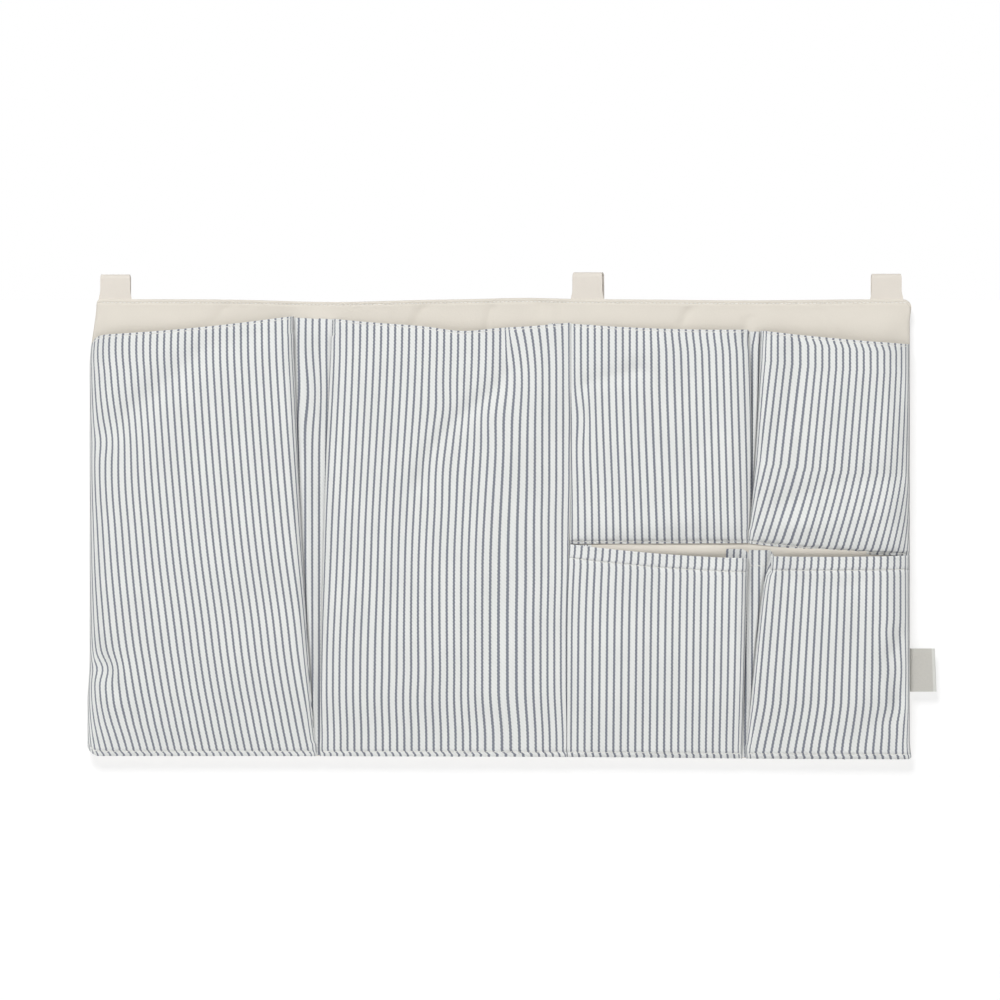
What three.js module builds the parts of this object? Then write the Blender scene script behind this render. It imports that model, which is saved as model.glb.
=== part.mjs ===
// A cloth pocket organizer that hangs from the top rail of a cot: a padded panel with six
// pleated pockets sewn on its front, and three straps that go over the rail and fasten behind.
// Millimetres. X runs to the right, Y to the back and Z up. The origin is the middle of the
// free space inside the strap loops, where the rail goes, halfway along the panel.

import * as THREE from 'three';

// Cloths, and the clearance left between pieces that touch
const CLEARANCE = 0.3;
const COVER_CLOTH = 0.8;
const POCKET_CLOTH = 0.9;
const LINING_CLOTH = 0.5;
const PLEAT_CLOTH = 0.6;

// Pocket widths between their upright seams, left to right
const LARGE_LEFT_WIDTH = 166;
const LARGE_MIDDLE_WIDTH = 184;
const SMALL_INNER_WIDTH = 130;
const SMALL_OUTER_WIDTH = 118;

// Panel: two covers that lie flat at the seam and swell over a sheet of wadding
const PANEL_HEIGHT = 334;
const SIDE_MARGIN = 1;
const BASE_MARGIN = 0.5;
const CORNER_RADIUS = 3;
const LOWER_LEFT_RADIUS = 9;
const SEAM_ALLOWANCE = 6;
const SWELL_WIDTH = 7;
const WADDING_LOFT = 3.4;
const WADDING_CLEARANCE = 2;

// Pocket mouths: how far each hem lies below the panel's top edge
const LARGE_LEFT_HEM = { left: 26.8, middle: 21.5, right: 15.1 };
const LARGE_MIDDLE_HEM = { left: 14.8, middle: 23.1, right: 17.3 };
const UPPER_INNER_HEM = { left: 18, middle: 21.7, right: 22.4 };
const UPPER_OUTER_HEM = { left: 23.1, middle: 28.8, right: 33 };

// The upper row ends in a seam this far down, which slants on the outer pocket
const UPPER_ROW_DROP = 177.9;
const UPPER_INNER_SLANT = { left: 0, middle: 0, right: 0 };
const UPPER_OUTER_SLANT = { left: 0, middle: 5.8, right: 8.8 };

// The lower row's mouths open this far under the upper row's seam
const LOWER_INNER_HEM_GAP = { left: 2.2, middle: 7.6, right: 11 };
const LOWER_OUTER_HEM_GAP = { left: 9.5, middle: 4.4, right: 1.8 };
const LOWER_HEM_TURN = 10;

// How the pocket cloth stands off the panel
const LARGE_DEPTH = 9;
const SMALL_DEPTH = 8;
const BASE_RISE = 15;
const BELLY_RISE = 70;
const SIDE_WRAP = 22;

// Soft folds that run slantwise over two fronts
const LARGE_MIDDLE_DRAPE = {
  top: { across: 134, down: 24 }, end: { across: 74, down: 147 }, height: 2.2, width: 12,
};
const UPPER_OUTER_DRAPE = {
  top: { across: 36, down: 28 }, end: { across: 16, down: 110 }, height: 1.4, width: 10,
};

// Pleats at both sides of each pocket
const PLEAT_TUCK = 16;
const PLEAT_OPENING = 1.4;
const PLEAT_DROP = 1;
const NOTCH_GAP = 0.1;
const SMALL_FOLD = 0.8;
const LARGE_LEFT_FOLD = { top: 18.6, base: 2 };
const LARGE_MIDDLE_FOLD = { top: 10.5, base: 1 };
const UPPER_OUTER_FOLD = { top: 9, base: 1 };
const LOWER_INNER_FOLD = { top: 1, base: 5 };
const LOWER_OUTER_FOLD = { top: 17.6, base: 1 };

// Straps and their touch fasteners
const STRAP_WIDTH = 22;
const STRAP_CLOTH = 1;
const STRAP_RISE = 20;
const STRAP_INSET = 7.5;
const PATCH_WIDTH = 18;
const PATCH_HEIGHT = 32;
const PATCH_THICKNESS = 1.4;
const PATCH_CORNER = 2;
const PATCH_DROP = 30;
const TAIL_PAST_PATCH = 4;

// Woven label folded into the right-hand seam, with a bare face
const LABEL_HEIGHT = 32;
const LABEL_REACH = 17.5;
const LABEL_RIBBON = 0.4;
const LABEL_GAP = 0.2;
const LABEL_CENTRE_RISE = 63.4;

// Number of plain stretches in the middle of each sheet
const LARGE_STRETCHES = 6;
const SMALL_STRETCHES = 4;
const COVER_STRETCHES = 4;
const PLEAT_STRETCHES = 4;
const ARC_SEGMENTS = 8;
const PATCH_SEGMENTS = 3;

// Steps round a pocket's side, as shares of SIDE_WRAP, and how far a lining's rim is drawn in
const WRAP_STEPS = [0, 0.1, 0.27, 0.55, 1];
const EDGE_DRAW_IN = 0.25;

// Panel outline and planes
const pocketsWidth = LARGE_LEFT_WIDTH + LARGE_MIDDLE_WIDTH + SMALL_INNER_WIDTH + SMALL_OUTER_WIDTH;
const panelRight = pocketsWidth / 2 + SIDE_MARGIN;
const panelLeft = -panelRight;
const strapInnerTop = (STRAP_RISE - STRAP_CLOTH) / 2;
const panelTop = -strapInnerTop;
const panelBottom = panelTop - PANEL_HEIGHT;
const coverInset = STRAP_CLOTH / 2 + CLEARANCE;
const loopGap = CLEARANCE + COVER_CLOTH + 2 * PATCH_THICKNESS + 3 * CLEARANCE;
const seamPlane = -(loopGap + STRAP_CLOTH) / 2;
const backFace = seamPlane + coverInset + COVER_CLOTH;
const fullSwell = SEAM_ALLOWANCE + SWELL_WIDTH;
const sideSwell = SIDE_MARGIN + SMALL_FOLD + PLEAT_TUCK + CLEARANCE;
const waddingInset = Math.max(fullSwell, sideSwell);
const seamTuck = waddingInset - WADDING_CLEARANCE;

// Upright seams that hold the pockets
const leftSeam = panelLeft + SIDE_MARGIN;
const largeSeam = leftSeam + LARGE_LEFT_WIDTH;
const halfSeam = largeSeam + LARGE_MIDDLE_WIDTH;
const smallSeam = halfSeam + SMALL_INNER_WIDTH;
const rightSeam = smallSeam + SMALL_OUTER_WIDTH;

const STRIPED = new THREE.MeshStandardMaterial({ color: 0xd6d8da, roughness: 0.9, metalness: 0 });
const NATURAL = new THREE.MeshStandardMaterial({ color: 0xe2dcd1, roughness: 0.9, metalness: 0 });
const FILLING = new THREE.MeshStandardMaterial({ color: 0xf4f3ef, roughness: 1, metalness: 0 });
const FASTENER = new THREE.MeshStandardMaterial({ color: 0xdad3c6, roughness: 1, metalness: 0 });
const WOVEN = new THREE.MeshStandardMaterial({ color: 0xc8c8c1, roughness: 0.8, metalness: 0 });

const group = new THREE.Group();

function addMesh(name, geometry, material) {
  const mesh = new THREE.Mesh(geometry, material);
  mesh.name = name;
  group.add(mesh);
  return mesh;
}

const limited = (value) => Math.min(Math.max(value, 0), 1);

// A smooth curve across a piece, through its heights at the left, the middle and the right
function curveAt({ left, middle, right }, share) {
  const leftPart = left * (1 - share) * (1 - 2 * share);
  const rightPart = right * share * (2 * share - 1);
  return leftPart + 4 * middle * share * (1 - share) + rightPart;
}

// How far a round corner draws an edge in, at this distance from the corner
function cornerDrop(distance, radius) {
  const inside = Math.max(radius - Math.max(distance, 0), 0);
  return radius - Math.sqrt(radius ** 2 - inside ** 2);
}

function panelBottomAt(x) {
  const left = cornerDrop(x - panelLeft, LOWER_LEFT_RADIUS);
  return panelBottom + left + cornerDrop(panelRight - x, CORNER_RADIUS);
}

function panelTopAt(x) {
  const left = cornerDrop(x - panelLeft, CORNER_RADIUS);
  return panelTop - left - cornerDrop(panelRight - x, CORNER_RADIUS);
}

// The wadding's extra height, which grows from nothing at the seams, and at the sides over
// the width of the outer pleats, so that these lie on a flat slope
function swellAt(x, z) {
  const sideways = Math.min(x - panelLeft, panelRight - x) - SIDE_MARGIN;
  const upright = Math.min(z - panelBottom, panelTop - z) - SEAM_ALLOWANCE;
  return WADDING_LOFT * limited(Math.min(sideways / (sideSwell - SIDE_MARGIN), upright / SWELL_WIDTH));
}

const panelFaceAt = (x, z) => seamPlane - coverInset - COVER_CLOTH - swellAt(x, z);

// Shares of a length, from 0 to 1: fixed distances from both ends, and equal steps between
function sharesOf(length, fromStart, fromEnd, stretches) {
  const start = fromStart.map((distance) => distance / length);
  const end = fromEnd.map((distance) => 1 - distance / length).reverse();
  const low = start[start.length - 1];
  const step = (end[0] - low) / stretches;
  const between = Array.from({ length: stretches - 1 }, (_, i) => low + step * (i + 1));
  return [...start, ...between, ...end];
}

// A closed sheet between two grids of points that hold the same rows and columns
function sheetBetween(front, back) {
  const rows = front.length;
  const columns = front[0].length;
  const positions = [...front.flat(), ...back.flat()].flatMap((point) => point.toArray());
  const index = [];
  const at = (layer, row, column) => layer * rows * columns + row * columns + column;
  const addQuad = (a, b, c, d) => index.push(a, b, c, a, c, d);
  for (let row = 0; row < rows - 1; row += 1) {
    for (let column = 0; column < columns - 1; column += 1) {
      const around = [[row, column], [row, column + 1], [row + 1, column + 1], [row + 1, column]];
      const [a, b, c, d] = around.map(([r, k]) => at(0, r, k));
      const layer = rows * columns;
      addQuad(a, b, c, d);
      addQuad(a + layer, d + layer, c + layer, b + layer);
    }
  }
  const rim = [];
  for (let column = 0; column < columns - 1; column += 1) rim.push([0, column]);
  for (let row = 0; row < rows - 1; row += 1) rim.push([row, columns - 1]);
  for (let column = columns - 1; column > 0; column -= 1) rim.push([rows - 1, column]);
  for (let row = rows - 1; row > 0; row -= 1) rim.push([row, 0]);
  rim.forEach(([row, column], i) => {
    const [nextRow, nextColumn] = rim[(i + 1) % rim.length];
    addQuad(at(0, row, column), at(1, row, column), at(1, nextRow, nextColumn), at(0, nextRow, nextColumn));
  });
  return indexedGeometry(positions, index);
}

function indexedGeometry(positions, index) {
  const geometry = new THREE.BufferGeometry();
  geometry.setAttribute('position', new THREE.Float32BufferAttribute(positions, 3));
  geometry.setIndex(index);
  return geometry;
}

const movedBack = (grid, distance) => grid.map((row) => row.map(({ x, y, z }) => (
  new THREE.Vector3(x, y + distance, z)
)));

// The grid with its outer row and columns drawn in towards the next ones, by a share
function drawnIn(grid, share) {
  const sides = grid.map((row) => row.map((point, column) => {
    if (column === 0) return point.clone().lerp(row[1], share);
    if (column === row.length - 1) return point.clone().lerp(row[column - 1], share);
    return point.clone();
  }));
  const last = sides.length - 1;
  return sides.map((row, i) => (
    i === last ? row.map((point, column) => point.clone().lerp(sides[last - 1][column], share)) : row
  ));
}

const capOf = (outline) => (
  THREE.ShapeUtils.triangulateShape(outline.map(([x, y]) => new THREE.Vector2(x, y)), [])
);

// A closed body through stations that are polygons of X and Y, each at its own height
function loftUp(stations) {
  const count = stations[0].outline.length;
  const positions = stations.flatMap(({ outline, z }) => outline.flatMap(([x, y]) => [x, y, z]));
  const index = [];
  for (let station = 0; station < stations.length - 1; station += 1) {
    for (let corner = 0; corner < count; corner += 1) {
      const low = station * count + corner;
      const next = station * count + ((corner + 1) % count);
      index.push(low, next, next + count, low, next + count, low + count);
    }
  }
  const top = stations.length - 1;
  capOf(stations[0].outline).forEach(([a, b, c]) => index.push(c, b, a));
  capOf(stations[top].outline).forEach((corners) => {
    index.push(...corners.map((corner) => top * count + corner));
  });
  return indexedGeometry(positions, index);
}

// The padded panel

// A grid over the panel, whose rows near the top and bottom follow the round corners
function panelGrid(inset, yAt) {
  const kept = (stops) => [inset, ...stops.filter((stop) => stop > inset)].sort((a, b) => a - b);
  const sideStops = kept([SIDE_MARGIN, CORNER_RADIUS, LOWER_LEFT_RADIUS, sideSwell]);
  const endStops = kept([SEAM_ALLOWANCE, fullSwell]);
  const across = sharesOf(panelRight - panelLeft, sideStops, sideStops, COVER_STRETCHES);
  const upwards = sharesOf(PANEL_HEIGHT, endStops, endStops, COVER_STRETCHES);
  return upwards.map((up) => across.map((share) => {
    const x = THREE.MathUtils.lerp(panelLeft, panelRight, share);
    const level = panelBottom + up * PANEL_HEIGHT;
    const low = limited((panelBottom + fullSwell - level) / fullSwell);
    const high = limited((level - panelTop + fullSwell) / fullSwell);
    const z = level + low * (panelBottomAt(x) - panelBottom) + high * (panelTopAt(x) - panelTop);
    return new THREE.Vector3(x, yAt(x, z), z);
  }));
}

function addPanel() {
  const face = panelGrid(0, panelFaceAt);
  addMesh('front_cover', sheetBetween(face, movedBack(face, COVER_CLOTH)), NATURAL);

  const back = panelGrid(0, () => backFace - COVER_CLOTH);
  addMesh('back_cover', sheetBetween(back, movedBack(back, COVER_CLOTH)), NATURAL);

  const rim = coverInset - CLEARANCE;
  const front = panelGrid(waddingInset, (x, z) => seamPlane - rim - swellAt(x, z));
  const rear = panelGrid(waddingInset, () => seamPlane + rim);
  addMesh('wadding', sheetBetween(front, rear), FILLING);
}

// Pockets

const stretchedFold = { top: SMALL_FOLD, base: SMALL_FOLD };
const bottomSeamAt = (x) => panelBottomAt(x) + BASE_MARGIN;
const hemDownFromTop = (hem) => (share) => panelTop - curveAt(hem, share);
const upperSeam = (slant) => (x, share) => panelTop - UPPER_ROW_DROP - curveAt(slant, share);
const hemUnderUpperRow = (slant, gap) => (share) => (
  upperSeam(slant)(0, share) - curveAt(gap, share)
);

const POCKETS = [
  {
    name: 'large_left',
    seams: [leftSeam, largeSeam],
    folds: [stretchedFold, LARGE_LEFT_FOLD],
    hemAt: hemDownFromTop(LARGE_LEFT_HEM),
    baseAt: bottomSeamAt,
    depth: LARGE_DEPTH,
    lined: true,
    stretches: LARGE_STRETCHES,
  },
  {
    name: 'large_middle',
    seams: [largeSeam, halfSeam],
    folds: [LARGE_MIDDLE_FOLD, stretchedFold],
    hemAt: hemDownFromTop(LARGE_MIDDLE_HEM),
    baseAt: bottomSeamAt,
    depth: LARGE_DEPTH,
    lined: true,
    stretches: LARGE_STRETCHES,
    drape: LARGE_MIDDLE_DRAPE,
  },
  {
    name: 'upper_inner',
    seams: [halfSeam, smallSeam],
    folds: [stretchedFold, stretchedFold],
    hemAt: hemDownFromTop(UPPER_INNER_HEM),
    baseAt: upperSeam(UPPER_INNER_SLANT),
    depth: SMALL_DEPTH,
    lined: true,
    stretches: SMALL_STRETCHES,
  },
  {
    name: 'upper_outer',
    seams: [smallSeam, rightSeam],
    folds: [UPPER_OUTER_FOLD, stretchedFold],
    hemAt: hemDownFromTop(UPPER_OUTER_HEM),
    baseAt: upperSeam(UPPER_OUTER_SLANT),
    depth: SMALL_DEPTH,
    lined: true,
    stretches: SMALL_STRETCHES,
    drape: UPPER_OUTER_DRAPE,
  },
  {
    name: 'lower_inner',
    seams: [halfSeam, smallSeam],
    folds: [stretchedFold, LOWER_INNER_FOLD],
    hemAt: hemUnderUpperRow(UPPER_INNER_SLANT, LOWER_INNER_HEM_GAP),
    baseAt: bottomSeamAt,
    depth: SMALL_DEPTH,
    lined: false,
    stretches: SMALL_STRETCHES,
  },
  {
    name: 'lower_outer',
    seams: [smallSeam, rightSeam],
    folds: [LOWER_OUTER_FOLD, stretchedFold],
    hemAt: hemUnderUpperRow(UPPER_OUTER_SLANT, LOWER_OUTER_HEM_GAP),
    baseAt: bottomSeamAt,
    depth: SMALL_DEPTH,
    lined: false,
    stretches: SMALL_STRETCHES,
  },
];

// The pleats and the cloth behind the front lie between the panel and the pocket's side
const pleatHeight = 2 * PLEAT_CLOTH + PLEAT_OPENING;
const backingOf = (pocket) => (pocket.lined ? LINING_CLOTH : POCKET_CLOTH);
const sideDepthOf = (pocket) => 3 * CLEARANCE + pleatHeight + backingOf(pocket);
const baseDepthOf = (pocket) => CLEARANCE + (pocket.lined ? CLEARANCE + LINING_CLOTH : 0);

// Where the visible fold at a side lies, at a share of the pocket's height
function foldAt(pocket, side, share) {
  const { base, top } = pocket.folds[side];
  const inward = side === 0 ? 1 : -1;
  return pocket.seams[side] + inward * THREE.MathUtils.lerp(base, top, share);
}

// The height of a soft fold that runs slantwise over a pocket's front
function drapeAt(pocket, x, z) {
  if (!pocket.drape) return 0;
  const { top, end, height, width } = pocket.drape;
  const start = new THREE.Vector2(pocket.seams[0] + top.across, panelTop - top.down);
  const along = new THREE.Vector2(pocket.seams[0] + end.across, panelTop - end.down).sub(start);
  const place = new THREE.Vector2(x, z).sub(start);
  const share = limited(place.dot(along) / along.lengthSq());
  const distance = place.sub(along.multiplyScalar(share)).length();
  return height * Math.exp(-((distance / width) ** 2));
}

// How far the front's inner face stands off the panel
function standOffAt(pocket, point, across, width, up) {
  const side = sideDepthOf(pocket);
  const edge = limited(Math.min(across, width - across) / SIDE_WRAP);
  const wrap = Math.sqrt(1 - (1 - edge) ** 2);
  const rise = limited(up / BASE_RISE);
  const sewn = THREE.MathUtils.lerp(baseDepthOf(pocket), side, rise * (2 - rise));
  const belly = 1 - (1 - limited(up / BELLY_RISE)) ** 2;
  return sewn + wrap * belly * (pocket.depth - side + drapeAt(pocket, point.x, point.z));
}

function pocketPoint(pocket, share, upShare) {
  const left = foldAt(pocket, 0, upShare);
  const width = foldAt(pocket, 1, upShare) - left;
  const x = left + share * width;
  const base = pocket.baseAt(x, share);
  const height = pocket.hemAt(share) - base;
  const z = base + upShare * height;
  const standOff = standOffAt(pocket, { x, z }, share * width, width, upShare * height);
  return new THREE.Vector3(x, panelFaceAt(x, z) - standOff, z);
}

const isAtBorder = (pocket, side) => pocket.seams[side] === [leftSeam, rightSeam][side];

// Column distances from a side: round the wrap, and where the panel swells if it is near
function sideStopsOf(pocket, side) {
  const wrap = WRAP_STEPS.map((step) => step * SIDE_WRAP);
  if (!isAtBorder(pocket, side)) return wrap;
  return [...wrap, sideSwell - SIDE_MARGIN - SMALL_FOLD].sort((a, b) => a - b);
}

function pocketGrid(pocket) {
  const width = foldAt(pocket, 1, 0) - foldAt(pocket, 0, 0);
  const columns = sharesOf(width, sideStopsOf(pocket, 0), sideStopsOf(pocket, 1), pocket.stretches);
  const middle = (pocket.seams[0] + pocket.seams[1]) / 2;
  const height = pocket.hemAt(0.5) - pocket.baseAt(middle, 0.5);
  const low = [0, BASE_RISE / 2, BASE_RISE, 2 * BASE_RISE, BELLY_RISE - BASE_RISE];
  const rows = sharesOf(height, low, [0, LOWER_HEM_TURN], pocket.stretches);
  return rows.map((up) => columns.map((share) => pocketPoint(pocket, share, up)));
}

// The lining hangs behind the whole front; an unlined front has its top edge turned in
function addPocket(pocket) {
  const inner = pocketGrid(pocket);
  const front = sheetBetween(movedBack(inner, -POCKET_CLOTH), inner);
  addMesh(`${pocket.name}_pocket_front`, front, STRIPED);

  const behind = movedBack(drawnIn(inner, EDGE_DRAW_IN), CLEARANCE);
  const backing = pocket.lined ? behind : behind.slice(-2);
  const name = pocket.lined ? 'lining' : 'turned_hem';
  const sheet = sheetBetween(backing, movedBack(backing, backingOf(pocket)));
  addMesh(`${pocket.name}_pocket_${name}`, sheet, pocket.lined ? NATURAL : STRIPED);

  addPleat(pocket, 0);
  addPleat(pocket, 1);
}

// A pleat is one strip that runs in from the seam along the panel and folds back to the front
function addPleat(pocket, side) {
  const inward = side === 0 ? 1 : -1;
  const seam = pocket.seams[side] + inward * CLEARANCE;
  const base = pocket.baseAt(foldAt(pocket, side, 0), side);
  const height = pocket.hemAt(side) - base;
  const low = base + BASE_RISE + CLEARANCE;
  const high = base + height - PLEAT_DROP;
  const stations = Array.from({ length: PLEAT_STRETCHES + 1 }, (_, i) => {
    const z = THREE.MathUtils.lerp(low, high, i / PLEAT_STRETCHES);
    const fold = foldAt(pocket, side, (z - base) / height);
    const tuck = fold + inward * PLEAT_TUCK;
    const notch = tuck - inward * 2 * PLEAT_CLOTH;
    const place = (x, offset) => [x, panelFaceAt(x, z) - CLEARANCE - offset];
    const outline = [
      place(seam, 0),
      place(tuck, 0),
      place(tuck, 2 * PLEAT_CLOTH),
      place(fold, pleatHeight),
      place(fold, pleatHeight - PLEAT_CLOTH),
      place(notch, PLEAT_CLOTH + NOTCH_GAP),
      place(seam, PLEAT_CLOTH),
    ];
    return { z, outline: side === 0 ? outline.reverse() : outline };
  });
  const name = `${pocket.name}_pocket_pleat_${side === 0 ? 'left' : 'right'}`;
  addMesh(name, loftUp(stations), STRIPED);
}

// Straps

const foldRadius = loopGap / 2;
const foldCentre = strapInnerTop - foldRadius;
const foldSplit = Math.asin(CLEARANCE / 2 / foldRadius);
const patchTop = panelTop - PATCH_DROP;
const tailEnd = patchTop - PATCH_HEIGHT - TAIL_PAST_PATCH;

// One leg of a strap and its half of the fold, as an outline of Y and Z
function strapLeg(isFront, end) {
  const side = isFront ? -1 : 1;
  const start = isFront ? Math.PI : 0;
  const stop = Math.PI / 2 - side * foldSplit;
  const outline = new THREE.Shape();
  outline.moveTo(side * foldRadius, end);
  outline.lineTo(side * (foldRadius + STRAP_CLOTH), end);
  outline.absarc(0, foldCentre, foldRadius + STRAP_CLOTH, start, stop, isFront);
  outline.absarc(0, foldCentre, foldRadius, stop, start, !isFront);
  const geometry = new THREE.ExtrudeGeometry(outline, {
    depth: STRAP_WIDTH, bevelEnabled: false, curveSegments: ARC_SEGMENTS,
  });
  geometry.translate(0, 0, -STRAP_WIDTH / 2);
  const [x, y, z] = [[1, 0, 0], [0, 1, 0], [0, 0, 1]].map((axis) => new THREE.Vector3(...axis));
  return geometry.applyMatrix4(new THREE.Matrix4().makeBasis(y, z, x));
}

function patchGeometry() {
  const [w, h, r] = [PATCH_WIDTH / 2, PATCH_HEIGHT / 2, PATCH_CORNER];
  const outline = new THREE.Shape();
  outline.absarc(w - r, h - r, r, 0, Math.PI / 2);
  outline.absarc(r - w, h - r, r, Math.PI / 2, Math.PI);
  outline.absarc(r - w, r - h, r, Math.PI, 1.5 * Math.PI);
  outline.absarc(w - r, r - h, r, 1.5 * Math.PI, 2 * Math.PI);
  return new THREE.ExtrudeGeometry(outline, {
    depth: PATCH_THICKNESS, bevelEnabled: false, curveSegments: PATCH_SEGMENTS,
  });
}

function addStrap(place, centre) {
  const leg = addMesh(`strap_${place}`, strapLeg(true, panelTop - seamTuck), NATURAL);
  const tail = addMesh(`strap_${place}_tail`, strapLeg(false, tailEnd), NATURAL);
  const loopPatch = addMesh(`loop_patch_${place}`, patchGeometry(), FASTENER);
  const hookPatch = addMesh(`hook_patch_${place}`, patchGeometry(), FASTENER);
  leg.position.x = centre;
  tail.position.x = centre;
  const loopBack = backFace + CLEARANCE + PATCH_THICKNESS;
  const patchMiddle = patchTop - PATCH_HEIGHT / 2;
  [[loopPatch, loopBack], [hookPatch, loopBack + CLEARANCE + PATCH_THICKNESS]].forEach(([patch, y]) => {
    patch.rotation.x = Math.PI / 2;
    patch.position.set(centre, y, patchMiddle);
  });
}

// Label: a ribbon folded double, open inside the seam, seen from above as an outline of X and Y
function addLabel() {
  const half = LABEL_RIBBON + LABEL_GAP / 2;
  const gap = LABEL_GAP / 2;
  const inside = panelRight - seamTuck;
  const round = panelRight + LABEL_REACH - half;
  const outline = new THREE.Shape();
  outline.moveTo(inside, -half);
  outline.absarc(round, 0, half, -Math.PI / 2, Math.PI / 2);
  outline.lineTo(inside, half);
  outline.lineTo(inside, gap);
  outline.absarc(round, 0, gap, Math.PI / 2, -Math.PI / 2, true);
  outline.lineTo(inside, -gap);
  const geometry = new THREE.ExtrudeGeometry(outline, {
    depth: LABEL_HEIGHT, bevelEnabled: false, curveSegments: PATCH_SEGMENTS,
  });
  const label = addMesh('side_label', geometry, WOVEN);
  label.position.set(0, seamPlane, panelBottom + LABEL_CENTRE_RISE - LABEL_HEIGHT / 2);
}

addPanel();
POCKETS.forEach(addPocket);
addStrap('left', panelLeft + STRAP_INSET + STRAP_WIDTH / 2);
addStrap('middle', halfSeam + SIDE_MARGIN + STRAP_WIDTH / 2);
addStrap('right', panelRight - STRAP_INSET - STRAP_WIDTH / 2);
addLabel();

export default group;
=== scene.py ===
import math

import bmesh
import bpy
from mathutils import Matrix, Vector, noise


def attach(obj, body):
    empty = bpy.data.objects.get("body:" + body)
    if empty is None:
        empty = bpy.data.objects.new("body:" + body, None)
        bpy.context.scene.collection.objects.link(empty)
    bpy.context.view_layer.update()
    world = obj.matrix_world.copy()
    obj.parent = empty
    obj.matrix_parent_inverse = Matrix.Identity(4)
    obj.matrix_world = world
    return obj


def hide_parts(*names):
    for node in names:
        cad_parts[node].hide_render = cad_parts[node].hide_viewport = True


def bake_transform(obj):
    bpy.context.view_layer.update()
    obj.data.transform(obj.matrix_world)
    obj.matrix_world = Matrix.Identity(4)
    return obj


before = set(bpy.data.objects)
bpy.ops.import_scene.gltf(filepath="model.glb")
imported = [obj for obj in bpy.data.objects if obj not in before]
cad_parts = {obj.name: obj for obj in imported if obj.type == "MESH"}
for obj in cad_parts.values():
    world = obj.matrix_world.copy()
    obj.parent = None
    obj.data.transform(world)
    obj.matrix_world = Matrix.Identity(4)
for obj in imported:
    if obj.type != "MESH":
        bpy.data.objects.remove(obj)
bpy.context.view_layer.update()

# The padded panel: a front and a back of unbleached cotton, sewn round the edge, turned right
# side out over thin wadding and topstitched near the edge. Everything else is sewn to it.
# Lengths are in millimetres throughout, in the frame of the CAD model.
MM = 0.001
PANEL_LEFT, PANEL_RIGHT = -300.0, 300.0
PANEL_TOP, PANEL_BOTTOM = -9.5, -343.5
SEAM_PLANE = -2.9
RIM_HALF = 1.6
RIM_ROUND = 2.4
WADDING_LOFT = 3.4
TOP_SWELL_START, TOP_SWELL_WIDTH = 3.0, 20.0
BOTTOM_SWELL_START, BOTTOM_SWELL_WIDTH = 2.0, 48.0
SIDE_SWELL_START, SIDE_SWELL_WIDTH = 1.0, 17.1
CORNER_BLEND = 13.0
CORNER_RADIUS, LOWER_LEFT_RADIUS, UPPER_RIGHT_RADIUS = 3.0, 9.0, 7.0
TOP_STITCH_DROP = 2.6
BOTTOM_STITCH_RISE = 3.6
MOUTH_PUFF, MOUTH_MIDDLE = 3.0, -193.0
LOWER_SEAM, LOWER_SEAM_TOP = 184.0, -190.0
PANEL_STEP = 3.0
# The bare band's small creases: top and bottom in X and Z, and depth
BAND_CREASES = (
    (-57, -14, -65, -32, 2.0),
    (-7, -14, -10, -34, 1.8),
    (28, -12, 31, -22, 1.1),
    (43, -12, 45, -24, 1.3),
    (137, -16, 132, -30, 2.0),
    (181, -22, 177, -34, 1.6),
    (-200, -13, -214, -30, 0.9),
    (230, -14, 247, -36, 0.9),
)
EDGE_STEPS = (0, 0.15, 0.6, 1.2, 1.8, 2.3, 2.7, 3.1, 3.6, 4.2, 5, 6.2, 8, 10, 12.5, 15)
COTTON = (0.886, 0.862, 0.819)
MOTTLE = 0.03


def limited(value):
    return min(max(value, 0.0), 1.0)


def eased(value):
    value = limited(value)
    return value * value * (3 - 2 * value)


def mixed(low, high, share):
    return low + (high - low) * share


def hump(value, width):
    return math.exp(-((value / width) ** 2))


def ruffle(x, z, across, along, seed):
    """Soft random unevenness from -1 to 1, whose patches have these sizes."""
    return noise.noise(Vector((x / across, z / along, seed)))


def corner_drop(distance, radius):
    inside = max(radius - max(distance, 0), 0)
    return radius - math.sqrt(radius**2 - inside**2)


def panel_bottom(x):
    left = corner_drop(x - PANEL_LEFT, LOWER_LEFT_RADIUS)
    return PANEL_BOTTOM + left + corner_drop(PANEL_RIGHT - x, CORNER_RADIUS)


def panel_top(x):
    left = corner_drop(x - PANEL_LEFT, CORNER_RADIUS)
    return PANEL_TOP - left - corner_drop(PANEL_RIGHT - x, UPPER_RIGHT_RADIUS)


def panel_swell(x, z):
    sideways = min(x - PANEL_LEFT, PANEL_RIGHT - x) - SIDE_SWELL_START
    over_bottom = eased((z - PANEL_BOTTOM - BOTTOM_SWELL_START) / BOTTOM_SWELL_WIDTH)
    under_top = eased((PANEL_TOP - z - TOP_SWELL_START) / TOP_SWELL_WIDTH)
    return WADDING_LOFT * min(over_bottom, under_top) * limited(sideways / SIDE_SWELL_WIDTH)


def panel_face(x, z):
    return SEAM_PLANE - RIM_HALF - panel_swell(x, z)


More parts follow.
